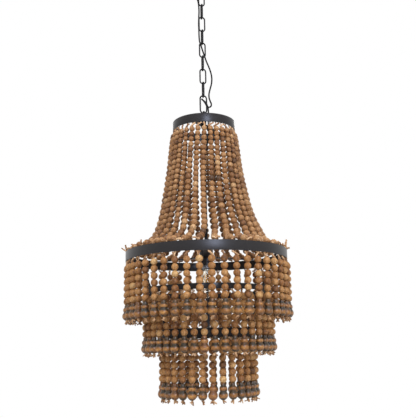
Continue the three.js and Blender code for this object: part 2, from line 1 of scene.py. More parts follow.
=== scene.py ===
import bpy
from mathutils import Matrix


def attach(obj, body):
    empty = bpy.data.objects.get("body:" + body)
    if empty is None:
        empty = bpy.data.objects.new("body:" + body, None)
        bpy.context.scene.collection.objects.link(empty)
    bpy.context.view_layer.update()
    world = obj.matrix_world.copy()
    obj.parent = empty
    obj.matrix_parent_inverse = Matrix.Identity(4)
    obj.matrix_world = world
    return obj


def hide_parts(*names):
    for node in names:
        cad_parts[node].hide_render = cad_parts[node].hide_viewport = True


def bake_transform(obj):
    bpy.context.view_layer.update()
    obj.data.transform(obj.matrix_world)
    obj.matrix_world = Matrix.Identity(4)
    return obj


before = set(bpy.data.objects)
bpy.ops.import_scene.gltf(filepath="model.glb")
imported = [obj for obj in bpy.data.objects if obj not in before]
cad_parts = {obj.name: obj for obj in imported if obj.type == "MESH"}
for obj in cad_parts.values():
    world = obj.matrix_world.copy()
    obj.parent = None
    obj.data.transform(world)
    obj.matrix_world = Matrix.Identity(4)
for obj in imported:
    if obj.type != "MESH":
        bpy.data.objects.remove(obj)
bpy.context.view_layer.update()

import math
import random

import bpy
import numpy as np
from mathutils import Matrix, Vector

# Beaded chandelier. Sizes below are in millimetres from the middle of the ceiling face, +Z up,
# and the front looks towards -Y. Azimuths are counted from the front towards +X.
mm = 0.001
fullTurn = 2 * math.pi


# Shapes

class Shape:
    def __init__(self):
        self.points = []
        self.faces = []
        self.grain = []
        self.tone = []
        self.band = []
        self.count = 0

    def add(self, points, faces, grain=None, tone=0.5, band=None):
        points = np.asarray(points, float)
        total = len(points)
        self.points.append(points)
        self.faces.extend(tuple(self.count + corner for corner in face) for face in faces)
        self.grain.append(points if grain is None else np.asarray(grain, float))
        self.tone.append(np.full(total, tone))
        self.band.append(np.zeros(total) if band is None else np.asarray(band, float))
        self.count += total


def pointAt(azimuth, radius, height):
    return np.array((radius * math.sin(azimuth), -radius * math.cos(azimuth), height))


def unit(vector):
    return vector / max(np.linalg.norm(vector), 1e-9)


def smoothCurve(points, perSpan):  # one smooth curve through the points
    knots = [np.array(point, float) for point in points]
    knots = [2 * knots[0] - knots[1]] + knots + [2 * knots[-1] - knots[-2]]
    path = []
    for before, start, end, after in zip(knots, knots[1:], knots[2:], knots[3:]):
        pairs = ((before, start), (start, end), (end, after))
        first, middle, last = (max(np.linalg.norm(b - a) ** 0.5, 1e-6) for a, b in pairs)
        leaving = (start - before) / first - (end - before) / (first + middle)
        leaving = (leaving + (end - start) / middle) * middle
        arriving = (end - start) / middle - (after - start) / (middle + last)
        arriving = (arriving + (after - end) / last) * middle
        for step in range(perSpan):
            t = step / perSpan
            path.append(
                start * (2 * t ** 3 - 3 * t ** 2 + 1)
                + leaving * (t ** 3 - 2 * t ** 2 + t)
                + end * (3 * t ** 2 - 2 * t ** 3)
                + arriving * (t ** 3 - t ** 2)
            )
    path.append(knots[-2])
    return path


def softCorners(points, reach, steps, closed=False):  # each corner becomes a small arc
    points = [np.array(point, float) for point in points]
    soft = []
    for number, point in enumerate(points):
        if not closed and number in (0, len(points) - 1):
            soft.append(point)
            continue
        before = points[number - 1]
        after = points[(number + 1) % len(points)]
        into, out = before - point, after - point
        cut = min(reach, 0.45 * np.linalg.norm(into), 0.45 * np.linalg.norm(out))
        start, end = point + unit(into) * cut, point + unit(out) * cut
        for step in range(steps + 1):
            t = step / steps
            soft.append(start * (1 - t) ** 2 + 2 * point * t * (1 - t) + end * t ** 2)
    return soft


def latheGrid(profile, segments, closed=False):  # points and faces of a profile turned about Z
    rings, points = [], []
    for across, height in profile:
        if across < 1e-6 and not closed:
            rings.append([len(points)])
            points.append((0, 0, height))
            continue
        rings.append(list(range(len(points), len(points) + segments)))
        for step in range(segments):
            angle = fullTurn * step / segments
            points.append((across * math.cos(angle), across * math.sin(angle), height))
    pairs = list(zip(rings, rings[1:]))
    if closed:
        pairs.append((rings[-1], rings[0]))
    faces = []
    for low, high in pairs:
        for step in range(segments):
            after = (step + 1) % segments
            if len(low) == 1:
                faces.append((low[0], high[after], high[step]))
            elif len(high) == 1:
                faces.append((low[step], low[after], high[0]))
            else:
                faces.append((low[step], low[after], high[after], high[step]))
    return np.array(points, float), faces


def addLathe(shape, profile, segments, closed=False, at=(0, 0, 0), tone=0.5):
    points, faces = latheGrid(profile, segments, closed)
    shape.add(points + np.array(at, float), faces, grain=points, tone=tone)


def carriedFrames(path, closed=False):  # two directions square to the path at each of its points
    count = len(path)
    tangents = []
    for number in range(count):
        if closed:
            tangents.append(unit(path[(number + 1) % count] - path[number - 1]))
        else:
            tangents.append(unit(path[min(number + 1, count - 1)] - path[max(number - 1, 0)]))
    helper = np.array((0.0, 0.0, 1.0))
    if abs(tangents[0][2]) > 0.9:
        helper = np.array((1.0, 0.0, 0.0))
    side = unit(np.cross(tangents[0], helper))
    frames = []
    for tangent in tangents:
        side = unit(side - tangent * np.dot(side, tangent))
        frames.append((side, np.cross(tangent, side)))
    return frames


def addTube(shape, path, radius, sides, closed=False, frames=None, lay=None, tone=0.5):
    frames = frames or carriedFrames(path, closed)
    radii = radius if isinstance(radius, list) else [radius] * len(path)
    points, grain, along = [], [], 0.0
    for number, (centre, (side, up)) in enumerate(zip(path, frames)):
        if number:
            along += np.linalg.norm(centre - path[number - 1])
        for step in range(sides):
            angle = fullTurn * step / sides
            reach = radii[number]
            if lay:  # two plies twisted round each other
                reach *= 1 + 0.2 * math.cos(2 * (angle - fullTurn * along / lay))
            points.append(centre + side * reach * math.cos(angle) + up * reach * math.sin(angle))
            grain.append((reach * math.cos(angle), reach * math.sin(angle), along))
    faces = []
    last = len(path) if closed else len(path) - 1
    for number in range(last):
        here, there = number * sides, (number + 1) % len(path) * sides
        for step in range(sides):
            after = (step + 1) % sides
            faces.append((here + step, here + after, there + after, there + step))
    if not closed:
        faces.append(tuple(reversed(range(sides))))
        faces.append(tuple(range((len(path) - 1) * sides, len(path) * sides)))
    shape.add(points, faces, grain, tone)


def addStrip(shape, path, section, side):  # a flat bar of one section, whose width lies along side
    side = np.array(side, float)
    points = []
    for number, centre in enumerate(path):
        ahead = path[min(number + 1, len(path) - 1)] - path[max(number - 1, 0)]
        across = unit(np.cross(unit(ahead), side))
        points.extend(centre + side * x + across * y for x, y in section)
    sides = len(section)
    faces = []
    for number in range(len(path) - 1):
        here, there = number * sides, (number + 1) * sides
        for step in range(sides):
            after = (step + 1) % sides
            faces.append((here + step, here + after, there + after, there + step))
    faces.append(tuple(reversed(range(sides))))
    faces.append(tuple(range((len(path) - 1) * sides, len(path) * sides)))
    shape.add(points, faces)


def roundedBar(width, thickness, corner=0.5):  # a flat bar's section with eased edges
    x, y = width / 2, thickness / 2
    return [tuple(p) for p in softCorners([(-x, -y), (x, -y), (x, y), (-x, y)], corner, 2, True)]


def ringBand(inner, outer, bottom, top, corner=0.4):  # the section of a flat turned ring
    corners = [(inner, bottom), (outer, bottom), (outer, top), (inner, top)]
    return [tuple(p) for p in softCorners(corners, corner, 2, True)]


def meshOf(name, shape, sharpAngle):
    mesh = bpy.data.meshes.new(name)
    mesh.from_pydata((np.concatenate(shape.points) * mm).tolist(), [], shape.faces)
    total = len(mesh.vertices)
    grain = mesh.attributes.new("grain", "FLOAT_VECTOR", "POINT")
    grain.data.foreach_set("vector", np.concatenate(shape.grain).ravel()[: total * 3])
    for label, values in (("tone", shape.tone), ("band", shape.band)):
        layer = mesh.attributes.new(label, "FLOAT", "POINT")
        layer.data.foreach_set("value", np.concatenate(values))
    mesh.polygons.foreach_set("use_smooth", [True] * len(mesh.polygons))
    mesh.update()
    mesh.set_sharp_from_angle(angle=math.radians(sharpAngle))
    return mesh


def makePiece(name, shape, material, body, nodes=(), sharpAngle=38):
    piece = bpy.data.objects.new(name, meshOf(name, shape, sharpAngle))
    piece.data.materials.append(material)
    bpy.context.scene.collection.objects.link(piece)
    if body:
        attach(piece, body)
    if nodes:
        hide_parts(*nodes)
    return piece


# Materials

def tint(red, green, blue):
    return tuple((share / 255) ** 2.2 for share in (red, green, blue)) + (1.0,)


def newMaterial(name):
    material = bpy.data.materials.new(name)
    material.use_nodes = True
    return material, material.node_tree, material.node_tree.nodes["Principled BSDF"]


def addNode(tree, kind, inputs=None, **settings):
    node = tree.nodes.new(kind)
    for key, value in settings.items():
        setattr(node, key, value)
    for key, value in (inputs or {}).items():
        if isinstance(value, bpy.types.NodeSocket):
            tree.links.new(value, node.inputs[key])
        else:
            node.inputs[key].default_value = value
    return node


def noise(tree, vector, scale, detail=3.0, roughness=0.55):
    inputs = {"Vector": vector, "Scale": scale, "Detail": detail, "Roughness": roughness}
    return addNode(tree, "ShaderNodeTexNoise", inputs).outputs[0]


def ramp(tree, value, stops):
    node = addNode(tree, "ShaderNodeValToRGB", {0: value})
    marks = node.color_ramp.elements
    while len(marks) < len(stops):
        marks.new(0.5)
    for mark, (place, colour) in zip(marks, stops):
        mark.position = place
        mark.color = tint(*colour)
    return node.outputs[0]


def spread(tree, value, low, high, newLow, newHigh):
    inputs = {0: value, 1: low, 2: high, 3: newLow, 4: newHigh}
    return addNode(tree, "ShaderNodeMapRange", inputs).outputs[0]


def blended(tree, share, first, second, blend="MIX"):
    inputs = {0: share, 6: first, 7: second}
    node = addNode(tree, "ShaderNodeMix", None, data_type="RGBA", blend_type=blend)
    for key, value in inputs.items():
        if isinstance(value, bpy.types.NodeSocket):
            tree.links.new(value, node.inputs[key])
        else:
            node.inputs[key].default_value = value
    return node.outputs[2]


def bumped(tree, shader, height, strength, depth):
    inputs = {"Strength": strength, "Distance": depth * mm, "Height": height}
    tree.links.new(addNode(tree, "ShaderNodeBump", inputs).outputs[0], shader.inputs["Normal"])


def objectPlace(tree):
    return addNode(tree, "ShaderNodeTexCoord").outputs["Object"]


def ownGrain(tree, stretch):  # a piece's own coordinates in millimetres, drawn out along its length
    source = addNode(tree, "ShaderNodeAttribute", None, attribute_name="grain")
    inputs = {"Vector": source.outputs["Vector"], "Scale": (1, 1, stretch)}
    return addNode(tree, "ShaderNodeMapping", inputs).outputs[0]


def ownValue(tree, name):
    return addNode(tree, "ShaderNodeAttribute", None, attribute_name=name).outputs["Fac"]


def paintedSteel(name, design):
    material, tree, shader = newMaterial(name)
    place = objectPlace(tree)
    cloud = noise(tree, place, design["cloudScale"], 4)
    speckle = noise(tree, place, design["speckleScale"], 2)
    paint = ramp(tree, cloud, [(0.3, design["dark"]), (0.7, design["light"])])
    edge = addNode(tree, "ShaderNodeNewGeometry").outputs["Pointiness"]
    wear = spread(tree, edge, 0.52, 0.62, 0.0, design["wear"])
    worn = blended(tree, wear, paint, tint(*design["worn"]))
    tree.links.new(worn, shader.inputs["Base Color"])
    low, high = design["roughness"]
    tree.links.new(spread(tree, speckle, 0.3, 0.7, low, high), shader.inputs["Roughness"])
    shader.inputs["Specular IOR Level"].default_value = design["specular"]
    bumped(tree, shader, speckle, design["bump"], 0.15)
    return material


hoopPaint = paintedSteel("hoopPaint", {
    "dark": (31, 29, 31), "light": (36, 34, 36), "worn": (78, 76, 78), "wear": 0.3,
    "cloudScale": 9.0, "speckleScale": 900.0, "roughness": (0.32, 0.36),
    "specular": 0.31, "bump": 0.02,
})
chainPaint = paintedSteel("chainPaint", {
    "dark": (17, 16, 18), "light": (23, 22, 24), "worn": (54, 52, 54), "wear": 0.06,
    "cloudScale": 40.0, "speckleScale": 1200.0, "roughness": (0.42, 0.5),
    "specular": 0.22, "bump": 0.03,
})
canopyPaint = paintedSteel("canopyPaint", {
    "dark": (36, 35, 38), "light": (46, 45, 48), "worn": (84, 82, 84), "wear": 0.4,
    "cloudScale": 25.0, "speckleScale": 1000.0, "roughness": (0.32, 0.42),
    "specular": 0.3, "bump": 0.06,
})


def cordSheath(name, design):
    material, tree, shader = newMaterial(name)
    place = ownGrain(tree, 1.0)
    weave = noise(tree, place, design["weaveScale"], 2)
    colour = ramp(tree, weave, [(0.35, design["dark"]), (0.7, design["light"])])
    tree.links.new(colour, shader.inputs["Base Color"])
    tree.links.new(spread(tree, weave, 0.3, 0.7, 0.55, 0.68), shader.inputs["Roughness"])
    shader.inputs["Specular IOR Level"].default_value = 0.2
    bumped(tree, shader, weave, 0.1, 0.2)
    return material


cordRubber = cordSheath("cordRubber", {
    "dark": (18, 18, 19), "light": (25, 25, 26), "weaveScale": 1.1,
})


# Camera

cameraDesign = {  # the place in metres, angles in degrees
    "place": (0.00766, -1.89071, -1.1820),
    "pitchUp": 12.216,
    "roll": 1.166,
    "lens": 55.276,
    "sensorWidth": 36.0,
}


def placeCamera(design):
    pitch, roll = math.radians(design["pitchUp"]), math.radians(design["roll"])
    level = Vector((1, 0, 0))
    rise = Vector((0, -math.sin(pitch), math.cos(pitch)))
    ahead = Vector((0, math.cos(pitch), math.sin(pitch)))
    right = level * math.cos(roll) - rise * math.sin(roll)
    up = level * math.sin(roll) + rise * math.cos(roll)
    turn = Matrix((right, up, -ahead)).transposed().to_4x4()
    camera = bpy.data.cameras.new("photoCamera")
    camera.lens = design["lens"]
    camera.sensor_width = design["sensorWidth"]
    holder = bpy.data.objects.new("photoCamera", camera)
    holder.matrix_world = Matrix.Translation(design["place"]) @ turn
    bpy.context.scene.collection.objects.link(holder)
    bpy.context.scene.camera = holder


placeCamera(cameraDesign)
print("camera placed")


# Cords

# The supply cord leaves the canopy, hangs beside the chain, passes through the fifth link, turns
# through the connector link and ends in the gland. It is held all along.
supplyCordDesign = {
    "radius": 2.4, "sides": 14, "stepsPerSpan": 8, "leadStepsPerSpan": 6,
    # one span for each joint of the chain: the heights where one span ends and the next starts
    "cuts": (-75.85, -120.65, -165.45, -210.25, -255.05, -299.85, -344.65, -389.45, -438.3),
    # where each span bends, from its upper to its lower end
    "bends": ((-42, -70), (-84.5, -116.5), (-129.3, -161.3), (-174.1, -206.1), (-218.9, -250.9),
              (-263.7, -295.7), (-308.5, -340.5), (-353.3, -385.3), (-396, -434), (-455, -485)),
}
supplyCordRoute = [
    (-22, 0, -33), (-22, 0, -44), (-20.5, -2, -56), (-15, -5.5, -73), (-10.5, -8.3, -91),
    (-8.8, -8.9, -108), (-8.4, -9, -126), (-9.4, -8.8, -147), (-10.2, -8.5, -168),
    (-9.8, -8.5, -190), (-9.6, -8.6, -210), (-8.2, -8.9, -229), (-4.2, -6.6, -242),
    (0, 0, -254), (4, 6.2, -264.5), (7.8, 8.6, -276), (12.3, 8.2, -291), (18.6, 5.8, -308.5),
    (25, 2.8, -330), (27.9, 0, -351), (26.6, -1.8, -370), (22.2, -3.6, -388),
    (18.3, -5.6, -405), (18.2, -8.4, -420), (21.4, -11.2, -432.5), (24.6, -13.2, -443.5),
    (22.4, -14.6, -451.6), (16.4, -14.6, -453.6), (10.4, -13.6, -448.5),
    (5.4, -12.2, -438.5), (0.4, -10, -430), (-3.4, -5.6, -423.6), (-4.6, 0, -421),
    (-2.2, 6.4, -421), (4.2, 10.6, -424.5), (10.4, 12.6, -433), (14, 14.4, -444),
    (15, 17.6, -456), (14.8, 21, -468), (14.25, 24.7, -477), (14.25, 24.7, -503),
]
lampLeadRoute = [
    (14.25, 24.7, -511.1), (14.25, 24.7, -524), (13.65, 24, -537), (10.25, 20.2, -557),
    (5.25, 14.5, -579), (1.25, 10.1, -600), (0, 8.7, -620), (0, 8.7, -700), (0, 8.7, -800),
    (0, 8.7, -880), (0, 8.7, -895.9),
]


def makeSupplyCord(design):
    path = smoothCurve(supplyCordRoute, design["stepsPerSpan"])
    frames = carriedFrames(path)
    ends = [0]
    for height in design["cuts"]:
        ends.append(next(n for n, point in enumerate(path) if n > ends[-1] and point[2] < height))
    ends.append(len(path) - 1)
    for number, (high, low) in enumerate(design["bends"]):
        shape = Shape()
        start, end = ends[number], ends[number + 1] + 1
        addTube(shape, path[start:end], design["radius"], design["sides"],
                frames=frames[start:end])
        piece = makePiece(f"cord_span_{number + 1}", shape, cordRubber, None,
                          ["supply_cord"])
        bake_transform(piece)


def makeLampLead(design):
    shape = Shape()
    addTube(shape, smoothCurve(lampLeadRoute, design["leadStepsPerSpan"]), design["radius"],
            design["sides"])
    makePiece("lamp_cord", shape, cordRubber, "frame", ["lamp_lead"])


makeSupplyCord(supplyCordDesign)
makeLampLead(supplyCordDesign)
print("cords made")


# Ceiling fittings

canopyDesign = {
    "radius": 60.0, "depth": 28.0, "wall": 1.2, "hole": 5.3, "segments": 96,
    # the dome's side view: [share of its radius, share of its depth]
    "outline": [(0.45, 1), (0.62, 0.965), (0.75, 0.9), (0.93, 0.62), (1, 0.3), (1, 0)],
}


def makeCanopy(design):
    radius, depth, wall = design["radius"], design["depth"], design["wall"]
    outside = [(radius * across, -depth * down) for across, down in design["outline"]]
    outside = [tuple(p) for p in smoothCurve([(0.2 * radius, -depth)] + outside, 8)]
    inside = [(across * (1 - wall / radius), height * (1 - wall / depth))
              for across, height in reversed(outside)]
    profile = [(design["hole"], -depth)] + outside + inside
    profile.append((design["hole"], wall - depth))
    shape = Shape()
    addLathe(shape, profile, design["segments"], closed=True)
    makePiece("canopy_dome", shape, canopyPaint, "ceiling", ["canopy"], 50)


fittingDesign = {
    "turn": 14.0, "loopRing": 9.0, "loopWire": 2.5, "loopHeight": -47.1,
    "stem": [(0, -39.6), (3.6, -39.4), (4.8, -38.4), (5, -37.6), (5, -1), (4.4, -0.3), (0, -0.3)],
    "collarInner": 5.3, "collarRadius": 11.0, "collarTop": -28.3, "collarBottom": -35.3,
    "collarTeeth": 28, "toothDepth": 0.035,
    "bushingPlace": (-22.0, 0, 0),
    "bushing": [(2.7, -37), (3.4, -37.2), (4.5, -36.9), (5.6, -33.5), (6.9, -29), (7, -28.5),
                (6.8, -28.3), (4.6, -28.3), (4.6, -23.6), (4.3, -23.3), (0.05, -23.3),
                (0.05, -32.7), (2.7, -32.7)],
}


def ringPath(radius, height, turn, steps=64):  # an upright ring about Z
    path = []
    for step in range(steps):
        angle = fullTurn * step / steps
        across, up = radius * math.sin(angle), radius * math.cos(angle)
        path.append(np.array((across * math.cos(turn), across * math.sin(turn), height + up)))
    return path


def knurledRing(inner, outer, bottom, top, teeth, depth):
    shape = Shape()
    profile = ringBand(inner, outer, bottom, top, 0.8)
    points, faces = latheGrid(profile, teeth * 4, closed=True)
    angles = np.arctan2(points[:, 1], points[:, 0])
    across = np.hypot(points[:, 0], points[:, 1])
    middle = (points[:, 2] > bottom + 1) & (points[:, 2] < top - 1)
    dip = 1 - depth * (0.5 + 0.5 * np.cos(angles * teeth)) * (across > outer - 1.5) * middle
    points[:, :2] *= dip[:, None]
    shape.add(points, faces)
    return shape


def makeCeilingFittings(design):
    turn = math.radians(design["turn"]) + math.pi / 2
    loop = Shape()
    addTube(loop, ringPath(design["loopRing"], design["loopHeight"], turn),
            design["loopWire"], 16, closed=True)
    addLathe(loop, design["stem"], 32)
    makePiece("canopy_ring", loop, chainPaint, "ceiling", ["canopy_loop"])
    collar = knurledRing(design["collarInner"], design["collarRadius"], design["collarBottom"],
                         design["collarTop"], design["collarTeeth"], design["toothDepth"])
    makePiece("collar_nut", collar, chainPaint, "ceiling", ["canopy_collar"])
    bushing = Shape()
    addLathe(bushing, design["bushing"], 32, closed=True, at=design["bushingPlace"])
    makePiece("cord_bushing", bushing, cordRubber, "ceiling",
              ["canopy_bushing"])


zincDesign = {"dark": (138, 138, 136), "light": (176, 176, 172), "spangle": 160.0}


def zincPlate(design):
    material, tree, shader = newMaterial("zincPlate")
    place = objectPlace(tree)
    spangle = noise(tree, place, design["spangle"], 3)
    colour = ramp(tree, spangle, [(0.35, design["dark"]), (0.65, design["light"])])
    tree.links.new(colour, shader.inputs["Base Color"])
    tree.links.new(spread(tree, spangle, 0.3, 0.7, 0.3, 0.5), shader.inputs["Roughness"])
    shader.inputs["Metallic"].default_value = 1.0
    bumped(tree, shader, spangle, 0.08, 0.1)
    return material


makeCanopy(canopyDesign)
makeCeilingFittings(fittingDesign)
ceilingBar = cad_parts["mounting_bar"]
ceilingBar.data.materials.clear()
ceilingBar.data.materials.append(zincPlate(zincDesign))
print("ceiling fittings made")


# Chain

chainDesign = {
    "links": 8, "length": 53.5, "width": 22.7, "wire": 2.2, "firstMiddle": -75.85,
    "pitch": 44.8, "turn": 14.0, "weldSwell": 0.14, "weldHalf": 1.6,
    "connectorLength": 62.0, "connectorWidth": 25.0, "connectorWire": 2.3,
    "connectorMiddle": -438.3,
}


def linkShape(length, width, wire, middle, turn, design):
    bend = width / 2 - wire
    half = length / 2 - wire - bend
    flat = []
    steps = 20
    for step in range(steps + 1):
        angle = math.pi * step / steps
        flat.append((bend * math.cos(angle), half + bend * math.sin(angle)))
    flat += [(-bend, half * share) for share in (0.6, 0.2, 0.08, 0, -0.08, -0.2, -0.6)]
    for step in range(steps + 1):
        angle = math.pi * (1 + step / steps)
        flat.append((bend * math.cos(angle), -half + bend * math.sin(angle)))
    flat += [(bend, half * share) for share in (-0.5, 0, 0.5)]
    radii = []
    for across, up in flat:
        weld = max(0.0, 1 - (up / design["weldHalf"]) ** 2) if across < 0 else 0
        radii.append(wire * (1 + design["weldSwell"] * weld))
    path = [np.array((x * math.cos(turn), x * math.sin(turn), middle + z)) for x, z in flat]
    shape = Shape()
    addTube(shape, path, radii, 16, closed=True)
    return shape


def makeChain(design):
    turn = math.radians(design["turn"])
    for number in range(design["links"]):
        middle = design["firstMiddle"] - design["pitch"] * number
        facing = turn + (math.pi / 2 if number % 2 else 0)
        shape = linkShape(design["length"], design["width"], design["wire"], middle, facing,
                          design)
        makePiece(f"link_{number + 1}_ring", shape, chainPaint, f"link_{number + 1}",
                  [f"chain_link_{number + 1}"], 60)
    shape = linkShape(design["connectorLength"], design["connectorWidth"],
                      design["connectorWire"], design["connectorMiddle"], turn, design)
    makePiece("connector_ring", shape, chainPaint, "connector",
              ["connector_link"], 60)


makeChain(chainDesign)
print("chain made")


# Top of the frame

topDesign = {
    # the eye's and the gland's sections: [radius, height]
    "eyeRing": 10.5, "eyeWire": 2.3, "eyeHeight": -472.8, "turn": 14.0,
    "eyeBase": [(5.3, -506.45), (7.4, -506.45), (8, -505.9), (8, -500.2), (7.5, -499.6),
                (7.5, -498.8), (8, -498.2), (8, -490.5), (7.4, -488.4), (6.2, -486.4),
                (4.6, -485), (2.4, -484.5), (0.05, -484.45), (0.05, -497.4), (5.3, -497.4)],
    "nutInner": 5.3, "nutAcross": 8.5, "nutTop": -510.05, "nutBottom": -517.05,
    "glandPlace": (14.25, 24.68, 0),
    "gland": [(2.7, -516.6), (3.2, -516.75), (4.3, -516.6), (4.6, -516.2), (4.6, -506.45),
              (5.9, -506.45), (6.2, -506.1), (6.2, -503.7), (5.9, -503.3), (5.4, -501.5),
              (4.9, -497.9), (4.3, -497.45), (2.7, -497.6), (2.7, -502), (0.05, -502),
              (0.05, -511), (2.7, -511)],
    "barHalf": 93.2, "barWidth": 20.0, "barThickness": 3.0, "barMiddle": -508.25,
    "barTurn": 60.0,
    "tube": (4.0, 5.0, -903.85, -497.75),
}


def makeFrameTop(design):
    turn = math.radians(design["turn"]) + math.pi / 2
    eye = Shape()
    addTube(eye, ringPath(design["eyeRing"], design["eyeHeight"], turn), design["eyeWire"], 16,
            closed=True)
    addLathe(eye, design["eyeBase"], 40, closed=True)
    makePiece("frame_ring", eye, chainPaint, "frame", ["frame_eye"])

    bar = Shape()
    half, reach = design["barHalf"], design["barWidth"] / 2
    section = roundedBar(design["barWidth"], design["barThickness"])
    stations = [-half, -half + 0.4] + [half * (step / 8 - 1) for step in range(1, 16)]
    stations += [half - 0.4, half]
    path = [np.array((x, 0, design["barMiddle"])) for x in stations]
    addStrip(bar, path, section, (0, 1, 0))
    ends = np.concatenate(bar.points)
    bend = np.sqrt(np.maximum(half ** 2 - ends[:, 1] ** 2, 0)) - half
    ends[:, 0] += np.where(np.abs(ends[:, 0]) > half - 1, np.sign(ends[:, 0]) * bend, 0)
    barTurn = math.radians(design["barTurn"])
    x, y = ends[:, 0].copy(), ends[:, 1].copy()
    ends[:, 0] = x * math.cos(barTurn) - y * math.sin(barTurn)
    ends[:, 1] = x * math.sin(barTurn) + y * math.cos(barTurn)
    bar.points = [ends]
    makePiece("top_bar", bar, hoopPaint, "frame", ["top_crossbar"], 30)

    nut = Shape()
    inner, across = design["nutInner"], design["nutAcross"]
    top, bottom = design["nutTop"], design["nutBottom"]
    profile = [(inner, bottom), (across - 1, bottom), (across, bottom + 0.8),
               (across, top - 0.8), (across - 1, top), (inner, top)]
    addLathe(nut, profile, 6, closed=True)
    makePiece("stem_nut", nut, chainPaint, "frame", ["tube_nut"], 25)

    gland = Shape()
    addLathe(gland, design["gland"], 32, closed=True, at=design["glandPlace"])
    makePiece("bar_gland", gland, cordRubber, "frame", ["cord_gland"])

    tube = Shape()
    inner, outer, low, high = design["tube"]
    addLathe(tube, ringBand(inner, outer, low, high, 0.3), 32, closed=True)
    makePiece("stem_tube", tube, chainPaint, "frame", ["centre_tube"])


makeFrameTop(topDesign)
print("top of the frame made")


# Hoops, spokes and straps

hoopDesign = {
    "segments": 256, "thickness": 2.0,  # and each hoop's outer radius, upper and lower edge
    "top": {"radius": 96.0, "top": -501.75, "bottom": -528.75},
    "mid": {"radius": 238.0, "top": -904.75, "bottom": -932.35},
    "second": {"radius": 187.0, "top": -1012.55, "bottom": -1028.05},
    "third": {"radius": 137.4, "top": -1128.65, "bottom": -1153.05},
}


def makeHoop(name, design):
    shape, hoop = Shape(), design[name]
    inner = hoop["radius"] - design["thickness"]
    addLathe(shape, ringBand(inner, hoop["radius"], hoop["bottom"], hoop["top"], 0.35),
             design["segments"], closed=True)
    makePiece(f"{name}_band", shape, hoopPaint, "frame", [f"{name}_hoop"], 30)


spokeDesign = {
    "spokes": 3, "width": 14.0, "thickness": 3.0, "top": -917.35,
    "ringInner": 20.3, "ringOuter": 30.0, "start": 27.0, "end": 235.2,
}
strapDesign = {  # line: [radius, height] down the middle of a strap
    "turn": 60.0, "straps": 3, "width": 12.0, "thickness": 2.5, "bendReach": 5.0,
    "line": [(233.95, -912.35), (233.95, -922.85), (220.95, -931.85), (182.95, -1012.55),
             (182.95, -1017.55), (169.95, -1026.55), (133.35, -1128.65), (133.35, -1138.65)],
}


def makeSpokes(design):
    shape = Shape()
    bottom = design["top"] - design["thickness"]
    addLathe(shape, ringBand(design["ringInner"], design["ringOuter"], bottom, design["top"]),
             64, closed=True)
    section = roundedBar(design["width"], design["thickness"])
    middle = (bottom + design["top"]) / 2
    for number in range(design["spokes"]):
        azimuth = fullTurn * number / design["spokes"]
        path = [pointAt(azimuth, radius, middle)
                for radius in np.linspace(design["start"], design["end"], 8)]
        addStrip(shape, path, section, (math.cos(azimuth), math.sin(azimuth), 0))
    makePiece("spoke_cross", shape, hoopPaint, "frame", ["mid_spider"], 30)


def makeStraps(design):
    section = roundedBar(design["width"], design["thickness"])
    for number in range(design["straps"]):
        azimuth = math.radians(design["turn"]) + fullTurn * number / design["straps"]
        line = [pointAt(azimuth, radius, height) for radius, height in design["line"]]
        shape = Shape()
        addStrip(shape, softCorners(line, design["bendReach"], 5), section,
                 (math.cos(azimuth), math.sin(azimuth), 0))
        makePiece(f"strap_{number + 1}_bar", shape, hoopPaint, "frame",
                  [f"hanger_strap_{number + 1}"], 30)


for hoopName in ("top", "mid", "second", "third"):
    makeHoop(hoopName, hoopDesign)
makeSpokes(spokeDesign)
makeStraps(strapDesign)
print("hoops, spokes and straps made")


# Lamp holder and bulb

holderDesign = {
    "cup": [(18.5, -943.35), (19.6, -943.5), (20, -943.1), (20, -923.15), (22.7, -923.15),
            (23, -922.85), (23, -920.95), (22.7, -920.65), (20, -920.65), (20, -896.4),
            (19.6, -895), (18.2, -894.35), (5.3, -894.35), (5.3, -895.85), (17.6, -895.85),
            (18.5, -896.8)],
    "insert": [(0.05, -926.85), (13.5, -926.85), (13.5, -941.6), (13.9, -941.85),
               (17.5, -941.85), (17.8, -941.5), (17.8, -896.5), (17.4, -896.15),
               (5.3, -896.15), (5.3, -904.15), (0.05, -904.15)],
}
bulbDesign = {
    "glassTop": -955.45, "glassLength": 84.0, "radius": 17.0, "wall": 1.1,
    # the glass from its tip up: [share of its length, share of its radius]
    "outline": [(0, 0), (0.008, 0.2), (0.022, 0.36), (0.05, 0.6), (0.12, 0.86), (0.22, 0.985),
                (0.32, 1), (0.6, 1), (0.72, 0.975), (0.84, 0.88), (0.93, 0.78), (1, 0.741)],
    "threadDepth": 0.55, "threadPitch": 3.629, "threadStep": 0.45, "capRadius": 13.0,
    "capTop": -927.15, "capBottom": -955.15,
    "capRim": [(0.0, 0), (12.0, 0), (12.6, 0.6)],  # radius and height over the cap's lower end
    "capTip": [(11.8, -5), (9.5, -4.2), (5.4, -2.8), (4.8, -2.4), (4.6, -0.8), (3.4, 0), (0.0, 0)],
    "stem": [(0.0, 0), (2.4, 0.2), (3, 1), (2.2, 3.4), (2, 5.4), (2.6, 8.4), (4, 11.9),
             (9, 13.4), (9, 13.9), (0.0, 13.9)],  # radius and height over the filament's top
    "filaments": 4, "filamentRadius": 1.35, "filamentSpread": 6.5, "filamentLength": 42.0,
    "filamentTurn": -0.08, "filamentTop": -969.4, "hookRadius": 0.3,
}


def plasticOf(name, dark, light, roughness):
    material, tree, shader = newMaterial(name)
    cloud = noise(tree, objectPlace(tree), 300.0, 3)
    tree.links.new(ramp(tree, cloud, [(0.3, dark), (0.7, light)]), shader.inputs["Base Color"])
    tree.links.new(spread(tree, cloud, 0.3, 0.7, *roughness), shader.inputs["Roughness"])
    bumped(tree, shader, cloud, 0.06, 0.1)
    return material


